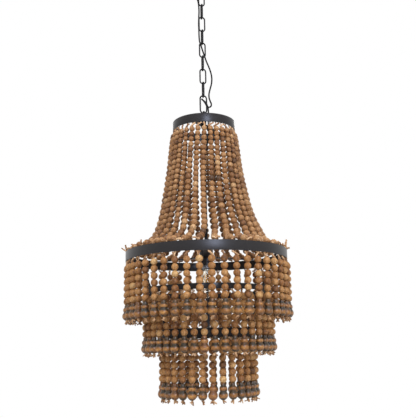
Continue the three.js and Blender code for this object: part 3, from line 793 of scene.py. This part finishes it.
def capMetalOf():
    material, tree, shader = newMaterial("capMetal")
    cloud = noise(tree, objectPlace(tree), 220.0, 4)
    colour = ramp(tree, cloud, [(0.3, (122, 124, 130)), (0.7, (158, 160, 166))])
    tree.links.new(colour, shader.inputs["Base Color"])
    tree.links.new(spread(tree, cloud, 0.3, 0.7, 0.22, 0.38), shader.inputs["Roughness"])
    shader.inputs["Metallic"].default_value = 1.0
    bumped(tree, shader, cloud, 0.05, 0.1)
    return material


def bulbGlassOf():
    material, tree, shader = newMaterial("bulbGlass")
    ripple = noise(tree, objectPlace(tree), 60.0, 2)
    colour = ramp(tree, ripple, [(0.2, (244, 240, 230)), (0.8, (253, 251, 246))])
    tree.links.new(colour, shader.inputs["Base Color"])
    tree.links.new(spread(tree, ripple, 0.2, 0.8, 0.0, 0.03), shader.inputs["Roughness"])
    shader.inputs["Transmission Weight"].default_value = 1.0
    shader.inputs["IOR"].default_value = 1.46
    bumped(tree, shader, ripple, 0.05, 0.2)
    return material


def filamentOf():
    material, tree, shader = newMaterial("filamentAmber")
    cloud = noise(tree, objectPlace(tree), 800.0, 2)
    colour = ramp(tree, cloud, [(0.3, (232, 160, 52)), (0.7, (248, 188, 84))])
    tree.links.new(colour, shader.inputs["Base Color"])
    tree.links.new(spread(tree, cloud, 0.3, 0.7, 0.35, 0.55), shader.inputs["Roughness"])
    bumped(tree, shader, cloud, 0.1, 0.1)
    return material


def makeHolder(design):
    cup = Shape()
    addLathe(cup, design["cup"], 64, closed=True)
    makePiece("lamp_cup", cup, hoopPaint, "frame", ["socket_cup"])
    insert = Shape()
    addLathe(insert, design["insert"], 64, closed=True)
    makePiece("lamp_insert", insert, plasticOf("holderPhenolic", (24, 24, 25), (38, 37, 37),
                                               (0.32, 0.46)),
              "frame", ["socket_insert"])


def makeBulb(design):
    cap = Shape()
    top, bottom, reach = design["capTop"], design["capBottom"], design["capRadius"]
    profile = [(across, bottom + up) for across, up in design["capRim"]]
    heights = np.arange(bottom + 3, top - 6, design["threadStep"])
    profile += [(reach, height) for height in heights]
    profile += [(across, top + up) for across, up in design["capTip"]]
    points, faces = latheGrid(profile, 48)
    angles = np.arctan2(points[:, 1], points[:, 0])
    threaded = (points[:, 2] > bottom + 2) & (points[:, 2] < top - 5.5)
    wave = np.cos(fullTurn * points[:, 2] / design["threadPitch"] - angles)
    fade = np.clip((points[:, 2] - bottom - 2) / 2, 0, 1)
    swell = 1 + threaded * fade * design["threadDepth"] * (wave - 1) / (2 * reach)
    points[:, :2] *= swell[:, None]
    cap.add(points, faces)
    makePiece("cap_screw", cap, capMetalOf(), "bulb_cap", ["bulb_cap"], 50)

    length, radius, wall = design["glassLength"], design["radius"], design["wall"]
    tip = design["glassTop"] - length
    outline = smoothCurve([(radius * across, tip + length * up)
                           for up, across in design["outline"]], 5)
    outside = [(max(across, 0.0), height) for across, height in outline]
    inside = [(across * (1 - wall / radius), tip + wall + (height - tip) * (1 - wall / length))
              for across, height in reversed(outside)]
    outside[0], inside[-1] = (0.0, outside[0][1]), (0.0, inside[-1][1])
    glass = Shape()
    addLathe(glass, outside + inside, 64)
    makePiece("bulb_shell", glass, bulbGlassOf(), "bulb", ["bulb_glass"], 60)

    mount = Shape()
    low = design["filamentTop"]
    addLathe(mount, [(across, low + up) for across, up in design["stem"]], 28)
    makePiece("bulb_stem", mount, plasticOf("stemGlass", (196, 202, 206), (224, 228, 230),
                                            (0.1, 0.2)),
              "bulb", ["bulb_filament"])
    wires = Shape()
    for number in range(design["filaments"]):
        azimuth = fullTurn * number / design["filaments"] + design["filamentTurn"]
        spreadOut = design["filamentSpread"]
        hook = [pointAt(azimuth, 1, low + 1.4), pointAt(azimuth, 4, low + 1.6),
                pointAt(azimuth, spreadOut, low - 0.5)]
        addTube(wires, smoothCurve(hook, 4), design["hookRadius"], 6)
        rod = [pointAt(azimuth, spreadOut, low - 1),
               pointAt(azimuth, spreadOut * 0.86, low - design["filamentLength"] * 0.5),
               pointAt(azimuth, spreadOut * 0.55, low + 1 - design["filamentLength"])]
        addTube(wires, smoothCurve(rod, 6), design["filamentRadius"], 8)
    makePiece("bulb_wires", wires, filamentOf(), "bulb", ["bulb_filament"])


makeHolder(holderDesign)
makeBulb(bulbDesign)
print("lamp holder and bulb made")


# Beads

# The crown's tones are the tiers' wood made darker and greyer: painted shade between the crown's
# strands.
beadWoodDesign = {
    "crownShadedTones": [(0.0, (88, 66, 49)), (0.22, (135, 96, 65)), (0.5, (169, 126, 86)),
                   (0.78, (191, 148, 106)), (1.0, (216, 179, 136))],
    "tierTones": [(0.0, (100, 72, 50)), (0.22, (148, 103, 64)), (0.5, (182, 134, 85)),
                  (0.78, (203, 156, 105)), (1.0, (225, 186, 133))],
    "grainScale": 0.42, "grainStretch": 0.22, "mottleScale": 0.11, "speckScale": 1.5,
    "grainShades": [(0.34, (176, 158, 140)), (0.5, (240, 236, 230)), (0.66, (255, 255, 255))],
    "pitShades": [(0.3, (130, 104, 84)), (0.4, (255, 255, 255))],
    "roughness": (0.46, 0.64),
}


def beadWoodOf(name, tones, design):
    material, tree, shader = newMaterial(name)
    place = ownGrain(tree, design["grainStretch"])
    streak = noise(tree, place, design["grainScale"], 6, 0.62)
    mottle = noise(tree, ownGrain(tree, 1.0), design["mottleScale"], 3, 0.5)
    speck = noise(tree, ownGrain(tree, 0.6), design["speckScale"], 2, 0.5)
    shift = spread(tree, mottle, 0.3, 0.7, -0.16, 0.16)
    tone = addNode(tree, "ShaderNodeMath", {0: ownValue(tree, "tone"), 1: shift},
                   operation="ADD", use_clamp=True).outputs[0]
    wood = ramp(tree, tone, tones)
    wood = blended(tree, 1.0, wood, ramp(tree, streak, design["grainShades"]), "MULTIPLY")
    wood = blended(tree, 0.7, wood, ramp(tree, speck, design["pitShades"]), "MULTIPLY")
    tree.links.new(wood, shader.inputs["Base Color"])
    low, high = design["roughness"]
    tree.links.new(spread(tree, streak, 0.3, 0.7, high, low), shader.inputs["Roughness"])
    shader.inputs["Specular IOR Level"].default_value = 0.4
    bumped(tree, shader, streak, 0.35, 0.35)
    return material


# A finial's stain runs from grey on the shoulders, through plain wood, to gold on the bellies.
finialWoodDesign = {
    "stain": [(0.0, (60, 53, 42)), (0.25, (84, 69, 50)), (0.46, (130, 93, 58)),
              (0.72, (165, 115, 66)), (1.0, (201, 147, 84))],
    "redBrown": (146, 94, 62), "redFrom": 0.72, "redShare": 0.45,
    "turningLines": [(0.34, (150, 132, 116)), (0.62, (255, 255, 255))], "lineShare": 0.9,
    "roughness": (0.27, 0.46),
}


def finialWoodOf(design):
    material, tree, shader = newMaterial("finialWood")
    rings = noise(tree, ownGrain(tree, 5.0), 0.16, 4, 0.6)
    cloud = noise(tree, ownGrain(tree, 1.3), 0.13, 4, 0.6)
    shift = spread(tree, cloud, 0.3, 0.7, -0.26, 0.26)
    shade = spread(tree, ownValue(tree, "tone"), 0, 1, -0.2, 0.14)
    shift = addNode(tree, "ShaderNodeMath", {0: shift, 1: shade}, operation="ADD").outputs[0]
    stain = addNode(tree, "ShaderNodeMath", {0: ownValue(tree, "band"), 1: shift},
                    operation="ADD", use_clamp=True).outputs[0]
    wood = ramp(tree, stain, design["stain"])
    redness = spread(tree, ownValue(tree, "tone"), design["redFrom"], 1, 0, design["redShare"])
    wood = blended(tree, redness, wood, tint(*design["redBrown"]))
    lines = ramp(tree, rings, design["turningLines"])
    wood = blended(tree, design["lineShare"], wood, lines, "MULTIPLY")
    tree.links.new(wood, shader.inputs["Base Color"])
    low, high = design["roughness"]
    tree.links.new(spread(tree, rings, 0.3, 0.7, high, low), shader.inputs["Roughness"])
    bumped(tree, shader, rings, 0.3, 0.3)
    return material


palmFibreDesign = {
    "shades": [(0.2, (132, 95, 66)), (0.42, (186, 144, 106)), (0.6, (220, 182, 144)),
               (0.8, (238, 214, 182))],
    "toneShift": (-0.32, 0.14), "roughness": (0.7, 0.85),
}


def twineOf(design):
    material, tree, shader = newMaterial("palmTwine")
    fibre = noise(tree, ownGrain(tree, 0.12), 1.6, 4, 0.6)
    shift = spread(tree, ownValue(tree, "tone"), 0, 1, *design["toneShift"])
    shade = addNode(tree, "ShaderNodeMath", {0: fibre, 1: shift}, operation="ADD").outputs[0]
    tree.links.new(ramp(tree, shade, design["shades"]), shader.inputs["Base Color"])
    low, high = design["roughness"]
    tree.links.new(spread(tree, fibre, 0.3, 0.7, low, high), shader.inputs["Roughness"])
    bumped(tree, shader, fibre, 0.5, 0.3)
    return material


# The crown's wood uses the darker tones, which hold painted shade for its strands.
crownWoodShaded = beadWoodOf("crownWoodShaded", beadWoodDesign["crownShadedTones"], beadWoodDesign)
tierWood = beadWoodOf("tierWood", beadWoodDesign["tierTones"], beadWoodDesign)
finialWood = finialWoodOf(finialWoodDesign)
palmTwine = twineOf(palmFibreDesign)

# Half a bead's side view: [share of its radius, share of its half length] from its waist up.
beadDesign = {
    "segments": 16,
    "outline": [(1.0, 0.0), (0.977, 0.22), (0.912, 0.42), (0.81, 0.6), (0.69, 0.75),
                (0.55, 0.87), (0.42, 0.945), (0.28, 0.99), (0.17, 0.95), (0.0, 0.86)],
    "sizeSpread": 0.035, "tilt": 3.0,
}


def beadGrid(design):
    upper = design["outline"]
    profile = [(across, -up) for across, up in reversed(upper[1:])] + upper
    return latheGrid(profile, design["segments"])


beadPoints, beadFaces = beadGrid(beadDesign)


def addBead(shape, middle, axis, radius, halfLength, dice):
    tilt = math.radians(beadDesign["tilt"])
    axis = unit(unit(axis) + np.array([dice.uniform(-tilt, tilt) for _ in range(3)]))
    spin = dice.uniform(0, fullTurn)
    helper = np.array((math.cos(spin), math.sin(spin), 0.3))
    side = unit(np.cross(axis, helper))
    turn = np.stack((side, np.cross(axis, side), axis))
    swell = 1 + dice.uniform(-1, 1) * beadDesign["sizeSpread"]
    own = beadPoints * (radius * swell, radius * swell, halfLength)
    shift = [dice.uniform(-400, 400) for _ in range(3)]
    tone = min(max(dice.gauss(0.5, 0.2), 0.02), 0.98)
    shape.add(own @ turn + middle, beadFaces, own + shift, tone)


# The crown: strands that leave the top hoop, turn a little as they fall and flare to the mid hoop.
crownDesign = {
    "seed": 100, "twineSeed": 7,
    "strands": 33, "runs": 3, "turn": 1.0, "twist": -5.5, "beads": (23, 24, 24, 25),
    "sway": 0.02, "plump": (0.99, 1.06),
    "topRadius": 95.2, "topHeight": -541.75, "footRadius": 226.6, "footHeight": -896.75,
    "topBead": 15.4, "footBead": 18.8, "tieRadius": 92.3, "footTieRadius": 233.6,
    # how far the strands sway to the right: [share of the way down, sway]
    "lean": [(0.4, 0), (0.6, 2), (0.75, 4.6), (0.83, 7), (0.88, 8.6), (0.93, 5), (1, 0)],
    # the flare: [share of the way down, share of the way out]
    "curve": [(0, 0), (0.06, 0.03), (0.305, 0.1), (0.52, 0.195), (0.727, 0.314),
              (0.868, 0.461), (0.939, 0.581), (0.985, 0.763), (1, 1)],
}


def crownStations(design, beads):  # the upper end, the lower end and the radius of each bead
    top, foot = design["topHeight"], design["footHeight"]
    inner, outer = design["topRadius"], design["footRadius"]
    curve = smoothCurve([(inner + (outer - inner) * out, top + (foot - top) * down, down)
                         for down, out in design["curve"]], 24)
    curve = np.array(curve)
    steps = np.linalg.norm(np.diff(curve[:, :2], axis=0), axis=1)
    lengths = np.concatenate(([0], np.cumsum(steps)))
    sizes = np.linspace(design["topBead"], design["footBead"], beads)
    sizes *= lengths[-1] / sizes.sum()
    places = np.concatenate(([0], np.cumsum(sizes)))
    stations = []
    for number, size in enumerate(sizes):
        start, end = ([np.interp(place, lengths, curve[:, k]) for k in range(3)]
                      for place in (places[number], places[number + 1]))
        stations.append((np.array(start), np.array(end), size / 2))
    return stations


def makeCrownBeads(design):
    perRun = design["strands"] // design["runs"]
    twist = math.radians(design["twist"])
    for run in range(design["runs"]):
        dice = random.Random(design["seed"] + run)
        shape = Shape()
        for number in range(perRun):
            share = (run * perRun + number) / design["strands"]
            azimuth = math.radians(design["turn"]) + fullTurn * share
            sway = dice.uniform(-design["sway"], design["sway"])
            plump = dice.uniform(*design["plump"])
            for start, end, half in crownStations(design, dice.choice(design["beads"])):
                ends = []
                for radius, height, down in (start, end):
                    aside = twist * down + sway * math.sin(math.pi * down)
                    lean = np.interp(down, *zip(*design["lean"]))
                    ends.append(pointAt(azimuth + aside, radius, height) + (lean, 0, 0))
                addBead(shape, (ends[0] + ends[1]) / 2, ends[0] - ends[1], half * plump,
                        np.linalg.norm(ends[0] - ends[1]) / 2 - 0.1, dice)
        makePiece(f"crown_{run + 1}_beads", shape, crownWoodShaded, "frame",
                  [f"upper_beads_{run + 1}"], 50)


# The three hanging tiers: beads, then a turned finial with gold and grey bands. The flare and the
# offset set how far a tier hangs outside its hoop and to one side of it.
tierDesign = {
    "beads": 6, "beadRadius": 9.7, "beadLength": 18.7, "plump": (0.97, 1.03),
    "finialSegments": 28, "finialSpread": 0.06, "finialLean": 0.02, "stainContrast": (0.5, 1.0),
    "outer": {"strands": 45, "runs": 9, "turn": -12.8, "radius": 233.6, "bottom": -932.35,
              "drop": 12.5, "wander": 1.6, "flare": 1.7, "offset": (1.8, 0, 0),
              "seed": 200, "twineSeed": 500},
    "second": {"strands": 42, "runs": 7, "turn": -20.7, "radius": 182.6, "bottom": -1028.05,
               "drop": 9.8, "wander": 0.4, "flare": 0, "offset": (3.2, 0, 0),
               "seed": 300, "twineSeed": 600},
    "third": {"strands": 30, "runs": 5, "turn": -31.2, "radius": 133.0, "bottom": -1153.05,
              "drop": 8.3, "wander": 0.5, "flare": 0, "offset": (0, 0, 0),
              "seed": 400, "twineSeed": 700},
    # down from the last bead, radius, and the stain from grey at 0 to gold at 1
    "finial": [(0, 0, 0.45), (0, 2.2, 0.45), (0.3, 5, 0.45), (1.4, 6.1, 0.4), (4, 6.4, 0.3),
               (6.4, 6.2, 0.15), (7.6, 6.9, 0.05), (9, 8.3, 0.1), (10.8, 9.5, 0.4),
               (12, 10, 0.75), (14, 10.3, 0.95), (16, 10.1, 0.95), (17.6, 9.5, 0.8),
               (19, 9, 0.45), (20.4, 8.5, 0.15), (21.2, 8.4, 0.05), (22.4, 9, 0),
               (24.4, 10.4, 0.05), (26.6, 11.5, 0.2), (28.2, 12, 0.55), (30.6, 12.4, 0.9),
               (33.2, 12.4, 1), (35.6, 11.8, 0.9), (37.8, 10.7, 0.6), (39.8, 9.2, 0.35),
               (41.6, 7.3, 0.25), (43.1, 5, 0.25), (43.9, 2.6, 0.3), (44.1, 0, 0.3)],
}


def addFinial(shape, foot, dice):
    stations = tierDesign["finial"][::-1]
    swell = 1 + dice.uniform(-1, 1) * tierDesign["finialSpread"]
    profile = [(across * swell, -down) for down, across, stain in stations]
    segments = tierDesign["finialSegments"]
    points, faces = latheGrid(profile, segments)
    contrast = dice.uniform(*tierDesign["stainContrast"])
    band = []
    for down, across, stain in stations:
        band += [0.5 + (stain - 0.5) * contrast] * (1 if across < 1e-6 else segments)
    most = tierDesign["finialLean"]
    lean = np.array([dice.uniform(-most, most), dice.uniform(-most, most)])
    placed = points + foot
    placed[:, :2] += points[:, 2:3] * lean
    shift = [dice.uniform(-400, 400) for _ in range(3)]
    shape.add(placed, faces, points + shift, min(max(dice.gauss(0.5, 0.3), 0), 1), band)


def makeTierBeads(name):
    tier = tierDesign[name]
    perRun = tier["strands"] // tier["runs"]
    length = tierDesign["beadLength"]
    radius = tier["radius"] + tier["flare"]
    for run in range(tier["runs"]):
        dice = random.Random(tier["seed"] + run)
        beads, finials = Shape(), Shape()
        for number in range(perRun):
            azimuth = math.radians(tier["turn"])
            azimuth += fullTurn * (run * perRun + number) / tier["strands"]
            lean = dice.uniform(-1, 1) * tier["wander"] / tier["radius"]
            plump = dice.uniform(*tierDesign["plump"])
            top = tier["bottom"] - tier["drop"]
            for bead in range(tierDesign["beads"]):
                height = top - length * (bead + 0.5)
                swing = azimuth + lean * (bead + 1) / (tierDesign["beads"] + 1)
                addBead(beads, pointAt(swing, radius, height) + tier["offset"],
                        np.array((0, 0, 1.0)), tierDesign["beadRadius"] * plump,
                        length / 2 - 0.1, dice)
            foot = pointAt(azimuth + lean, radius, top - length * tierDesign["beads"])
            addFinial(finials, foot + tier["offset"], dice)
        node = f"{name}_beads_{run + 1}"
        body = f"{name}_run_{run + 1}"
        makePiece(f"{name}_{run + 1}_strand", beads, tierWood, body, [node], 50)
        makePiece(f"{name}_{run + 1}_finials", finials, finialWood, body, [node],
                  60)


makeCrownBeads(crownDesign)
for tierName in ("outer", "second", "third"):
    makeTierBeads(tierName)
print("beads and finials made")


# Twine

twineDesign = {
    "toneSeed": 21, "radius": 1.3, "lay": 8.0, "sides": 7,
    "tieRadius": (1.8, 2.7), "slantReach": (5, 12), "forkReach": (4, 8),
    "kinds": ("stub", "slant", "slant", "slant", "fork", "loop"),
    "hoopKnot": 1.2, "stubKnot": 1.9, "slantKnot": 1.8, "footKnot": 2.1, "finialKnot": 2.4,
    "tuftEnds": (4, 7), "tuftLength": (6.5, 12.5), "tuftRadius": (1.3, 2.1), "tuftDown": 43.4,
    "footTails": (1, 3), "tailLength": (7, 17), "tailRadius": (1.5, 2.4),
    # long ends that stand off the mid hoop: azimuth, sideways, outwards and upwards reach
    "longEnds": [(-82, -3, 13, 11), (-80, 2, 5, 21), (79, 3, 4, 27), (84, -2, 12, 6),
                 (13, 5, 2, 24), (-50, 6, 3, 16), (41, -7, 3, 12), (-20, -12, 2, 9)],
}


toneDice = random.Random(twineDesign["toneSeed"])


def addTwine(shape, points, perSpan, radius=None):
    addTube(shape, smoothCurve(points, perSpan), radius or twineDesign["radius"],
            twineDesign["sides"], lay=twineDesign["lay"], tone=toneDice.uniform(0, 1))


def addKnot(shape, middle, reach, dice, turns=2):  # small turns of twine pulled tight
    for number in range(turns):
        turn, lean = dice.uniform(0, fullTurn), dice.uniform(-0.5, 0.5)
        path = []
        for step in range(10):
            angle = fullTurn * step / 10
            x, y = reach * math.cos(angle), reach * math.sin(angle)
            path.append(middle + np.array((x * math.cos(turn) - y * math.sin(turn) * 0.6,
                                           x * math.sin(turn) + y * math.cos(turn) * 0.6,
                                           y * lean + x * 0.4)))
        addTube(shape, path, twineDesign["radius"], 6, closed=True, tone=toneDice.uniform(0, 1))


def addTuft(shape, foot, dice):  # the twine's splayed ends below a finial's knot
    for number in range(dice.randint(*twineDesign["tuftEnds"])):
        length = dice.uniform(*twineDesign["tuftLength"])
        turn, aside = dice.uniform(0, fullTurn), dice.uniform(0.15, 0.9)
        out = np.array((math.cos(turn), math.sin(turn), 0)) * length * aside
        down = np.array((0, 0, -1.0)) * length * (1.1 - 0.6 * aside)
        curl = np.array([dice.uniform(-1, 1) for _ in range(3)]) * 1.4
        path = [foot, foot + out * 0.4 + down * 0.5 + curl, foot + out + down]
        addTwine(shape, path, 3, dice.uniform(*twineDesign["tuftRadius"]))


def addTie(shape, azimuth, radius, edge, bead, dice):  # twine from a strand's top to its hoop
    def spot(aside, out, height):
        return pointAt(azimuth + aside / radius, radius + out, height)

    between = (edge + bead) / 2
    addTwine(shape, [spot(0, 0, edge + 1.6), spot(dice.uniform(-1.5, 1.5), 0.3, between),
                     spot(0, 0, bead - 2)], 3)
    addKnot(shape, spot(0, -0.6, edge + 0.4), twineDesign["hoopKnot"], dice, 1)
    kind = dice.choice(twineDesign["kinds"])
    thick = dice.uniform(*twineDesign["tieRadius"])
    side = dice.choice((-1, 1))
    low = bead + dice.uniform(-1.5, 1.5)
    if kind == "stub":
        addTwine(shape, [spot(0.8 * side, 0.8, low - 1), spot(-1.2 * side, 1.7, between),
                         spot(1.6 * side, 0.4, edge - 1)], 4, thick * 1.1)
        addKnot(shape, spot(0, 1.4, low), twineDesign["stubKnot"], dice)
    elif kind == "slant":
        reach = dice.uniform(*twineDesign["slantReach"])
        addTwine(shape, [spot(-0.8 * side * reach, 1.6, low + 0.5), spot(0, 3, between - 1.6),
                         spot(side * reach, 1, edge - 1.4)], 5, thick)
        addKnot(shape, spot(0, 1, between - 1.4), twineDesign["slantKnot"], dice)
    elif kind == "fork":
        for way in (-1, 1):
            reach = dice.uniform(*twineDesign["forkReach"])
            addTwine(shape, [spot(0, 1.5, low - 0.5), spot(0.4 * way * reach, 2, between),
                             spot(way * reach, 0.6, edge - 1)], 4, thick * 0.9)
    else:
        reach = dice.uniform(*twineDesign["forkReach"])
        addTwine(shape, [spot(0, 1, low - 1), spot(reach, 2.2, between),
                         spot(0, 2.8, edge - 1.6), spot(-reach, 2.2, between),
                         spot(0, 1.6, low - 0.4)], 4, thick * 0.75)


def makeCrownTwine(design):
    dice = random.Random(design["twineSeed"])
    twine = Shape()
    topEdge, midEdge = hoopDesign["top"]["bottom"], hoopDesign["mid"]["top"]
    topRadius, footRadius = design["tieRadius"], design["footTieRadius"]
    for number in range(design["strands"]):
        azimuth = math.radians(design["turn"]) + fullTurn * number / design["strands"]
        addTie(twine, azimuth, topRadius, topEdge, design["topHeight"], dice)

        azimuth += math.radians(design["twist"])
        foot = pointAt(azimuth, design["footRadius"] - 3, design["footHeight"] - 0.5)
        knot = pointAt(azimuth, footRadius - 0.6, midEdge + 2.4)
        addTwine(twine, [foot, pointAt(azimuth, footRadius - 3.4, midEdge + 5), knot,
                         pointAt(azimuth, footRadius, midEdge - 3)], 4, 1.6)
        addKnot(twine, knot, twineDesign["footKnot"], dice)
        for tail in range(dice.randint(*twineDesign["footTails"])):
            length = dice.uniform(*twineDesign["tailLength"])
            aside = azimuth + dice.choice((-1, 1)) * length / footRadius
            lift, out = dice.uniform(0.4, 9), dice.uniform(-1.5, 4.5)
            middle = pointAt((azimuth + aside) / 2, footRadius + out * 0.5,
                             midEdge + 2.6 + lift * 0.8)
            end = pointAt(aside, footRadius + out, midEdge + 1.6 + lift)
            addTwine(twine, [knot, middle, end], 4, dice.uniform(*twineDesign["tailRadius"]))
    for degrees, sideways, out, up in twineDesign["longEnds"]:
        azimuth = math.radians(degrees)
        start = pointAt(azimuth, footRadius, midEdge + 2)
        end = pointAt(azimuth + sideways / footRadius, footRadius + out, midEdge + up)
        curl = np.array([dice.uniform(-1, 1) for _ in range(3)]) * 1.5
        addTwine(twine, [start, (start + end) / 2 + curl, end], 5, 2.1)
        addTwine(twine, [start, start * 0.4 + end * 0.6 - curl, end + curl * 2], 5, 1.6)
    makePiece("crown_twine", twine, palmTwine, "frame", [], 60)


def makeTierTwine(name):
    tier = tierDesign[name]
    dice = random.Random(tier["twineSeed"])
    perRun = tier["strands"] // tier["runs"]
    edge, radius, bead = tier["bottom"], tier["radius"], tier["bottom"] - tier["drop"]
    for run in range(tier["runs"]):
        strands = Shape()
        for number in range(perRun):
            azimuth = math.radians(tier["turn"])
            azimuth += fullTurn * (run * perRun + number) / tier["strands"]
            addTie(strands, azimuth, radius, edge, bead, dice)
            down = tierDesign["beadLength"] * tierDesign["beads"] + twineDesign["tuftDown"]
            foot = pointAt(azimuth, radius + tier["flare"], bead - down) + tier["offset"]
            addKnot(strands, foot + (0, 0, -1.6), twineDesign["finialKnot"], dice, 3)
            addTuft(strands, foot + (0, 0, -1), dice)
        piece = makePiece(f"{name}_{run + 1}_twine", strands, palmTwine, None, [],
                          60)
        # the knots stay on the hoop while the strands below them swing
        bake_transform(piece)


makeCrownTwine(crownDesign)
for tierName in ("outer", "second", "third"):
    makeTierTwine(tierName)
print("twine made")


# Floor, light and surroundings

stageDesign = {  # in metres; around is the room's own light on the object
    "floorHeight": -2.3, "floorRadius": 6.0, "fadeStart": 1.2, "fadeEnd": 4.5,
    "floorShades": [(0.2, (234, 233, 231)), (0.8, (238, 237, 235))], "around": 0.16,
    # place, width and height, power, tint, and whether it lights surfaces and shows in gloss
    "lamps": [
        ((-1.3, -2.4, 0.6), (2.2, 2.0), 68.0, (1.0, 0.98, 0.95), (True, False)),
        ((2.0, -1.9, -0.2), (1.8, 1.8), 49.0, (1.0, 0.99, 0.97), (True, False)),
        ((0.2, 2.4, 0.5), (1.8, 1.8), 48.0, (1.0, 0.99, 0.97), (True, True)),
        ((0.0, -0.3, 1.5), (1.1, 1.1), 14.0, (1.0, 1.0, 1.0), (True, True)),
        ((0.65, -3.1, 0.1), (0.6, 1.7), 70.0, (0.68, 0.76, 1.0), (False, True)),
    ],
    "aim": (0.0, 0.0, -0.9),
}


def makeFloor(design):
    reach = design["floorRadius"] / mm
    points, faces = latheGrid([(0.0, 0.0), (reach / 4, 0), (reach / 2, 0), (reach, 0)], 96)
    shape = Shape()
    shape.add(points + (0, 0, design["floorHeight"] / mm), [face[::-1] for face in faces])
    floor = bpy.data.objects.new("studioFloor", meshOf("studioFloor", shape, 30))
    bpy.context.scene.collection.objects.link(floor)
    material, tree, shader = newMaterial("floorPaint")
    place = objectPlace(tree)
    cloud = noise(tree, place, 3.0, 2)
    tree.links.new(ramp(tree, cloud, design["floorShades"]), shader.inputs["Base Color"])
    shader.inputs["Roughness"].default_value = 0.8
    split = addNode(tree, "ShaderNodeSeparateXYZ", {0: place})
    flat = addNode(tree, "ShaderNodeCombineXYZ", {0: split.outputs[0], 1: split.outputs[1]})
    away = addNode(tree, "ShaderNodeVectorMath", {0: flat.outputs[0]}, operation="LENGTH")
    clear = spread(tree, away.outputs["Value"], design["fadeStart"], design["fadeEnd"], 0, 1)
    glassy = addNode(tree, "ShaderNodeBsdfTransparent")
    mix = addNode(tree, "ShaderNodeMixShader", {0: clear})
    tree.links.new(shader.outputs[0], mix.inputs[1])
    tree.links.new(glassy.outputs[0], mix.inputs[2])
    tree.links.new(mix.outputs[0], tree.nodes["Material Output"].inputs[0])
    floor.data.materials.append(material)


def makeLight(design):
    for number, (place, size, power, colour, ways) in enumerate(design["lamps"]):
        lamp = bpy.data.lights.new(f"softLamp{number + 1}", "AREA")
        lamp.shape = "RECTANGLE"
        lamp.size, lamp.size_y = size
        lamp.energy = power
        lamp.color = colour
        holder = bpy.data.objects.new(lamp.name, lamp)
        holder.visible_diffuse, holder.visible_glossy = ways
        holder.location = place
        aim = Vector(design["aim"]) - Vector(place)
        holder.rotation_euler = aim.to_track_quat("-Z", "Y").to_euler()
        bpy.context.scene.collection.objects.link(holder)
    world = bpy.data.worlds.new("paleRoom")
    world.use_nodes = True
    bpy.context.scene.world = world
    tree = world.node_tree
    tree.nodes.clear()
    ray = addNode(tree, "ShaderNodeLightPath")
    seen = ray.outputs["Is Camera Ray"]
    for kind in ("Is Glossy Ray", "Is Transmission Ray"):
        seen = addNode(tree, "ShaderNodeMath", {0: seen, 1: ray.outputs[kind]},
                       operation="MAXIMUM").outputs[0]
    level = spread(tree, seen, 0, 1, design["around"], 1)
    shade = addNode(tree, "ShaderNodeBackground", {"Color": (1, 1, 1, 1), "Strength": level})
    output = addNode(tree, "ShaderNodeOutputWorld")
    tree.links.new(shade.outputs[0], output.inputs[0])


makeFloor(stageDesign)
makeLight(stageDesign)
bpy.context.scene.view_settings.view_transform = "Standard"
print("floor and light made")
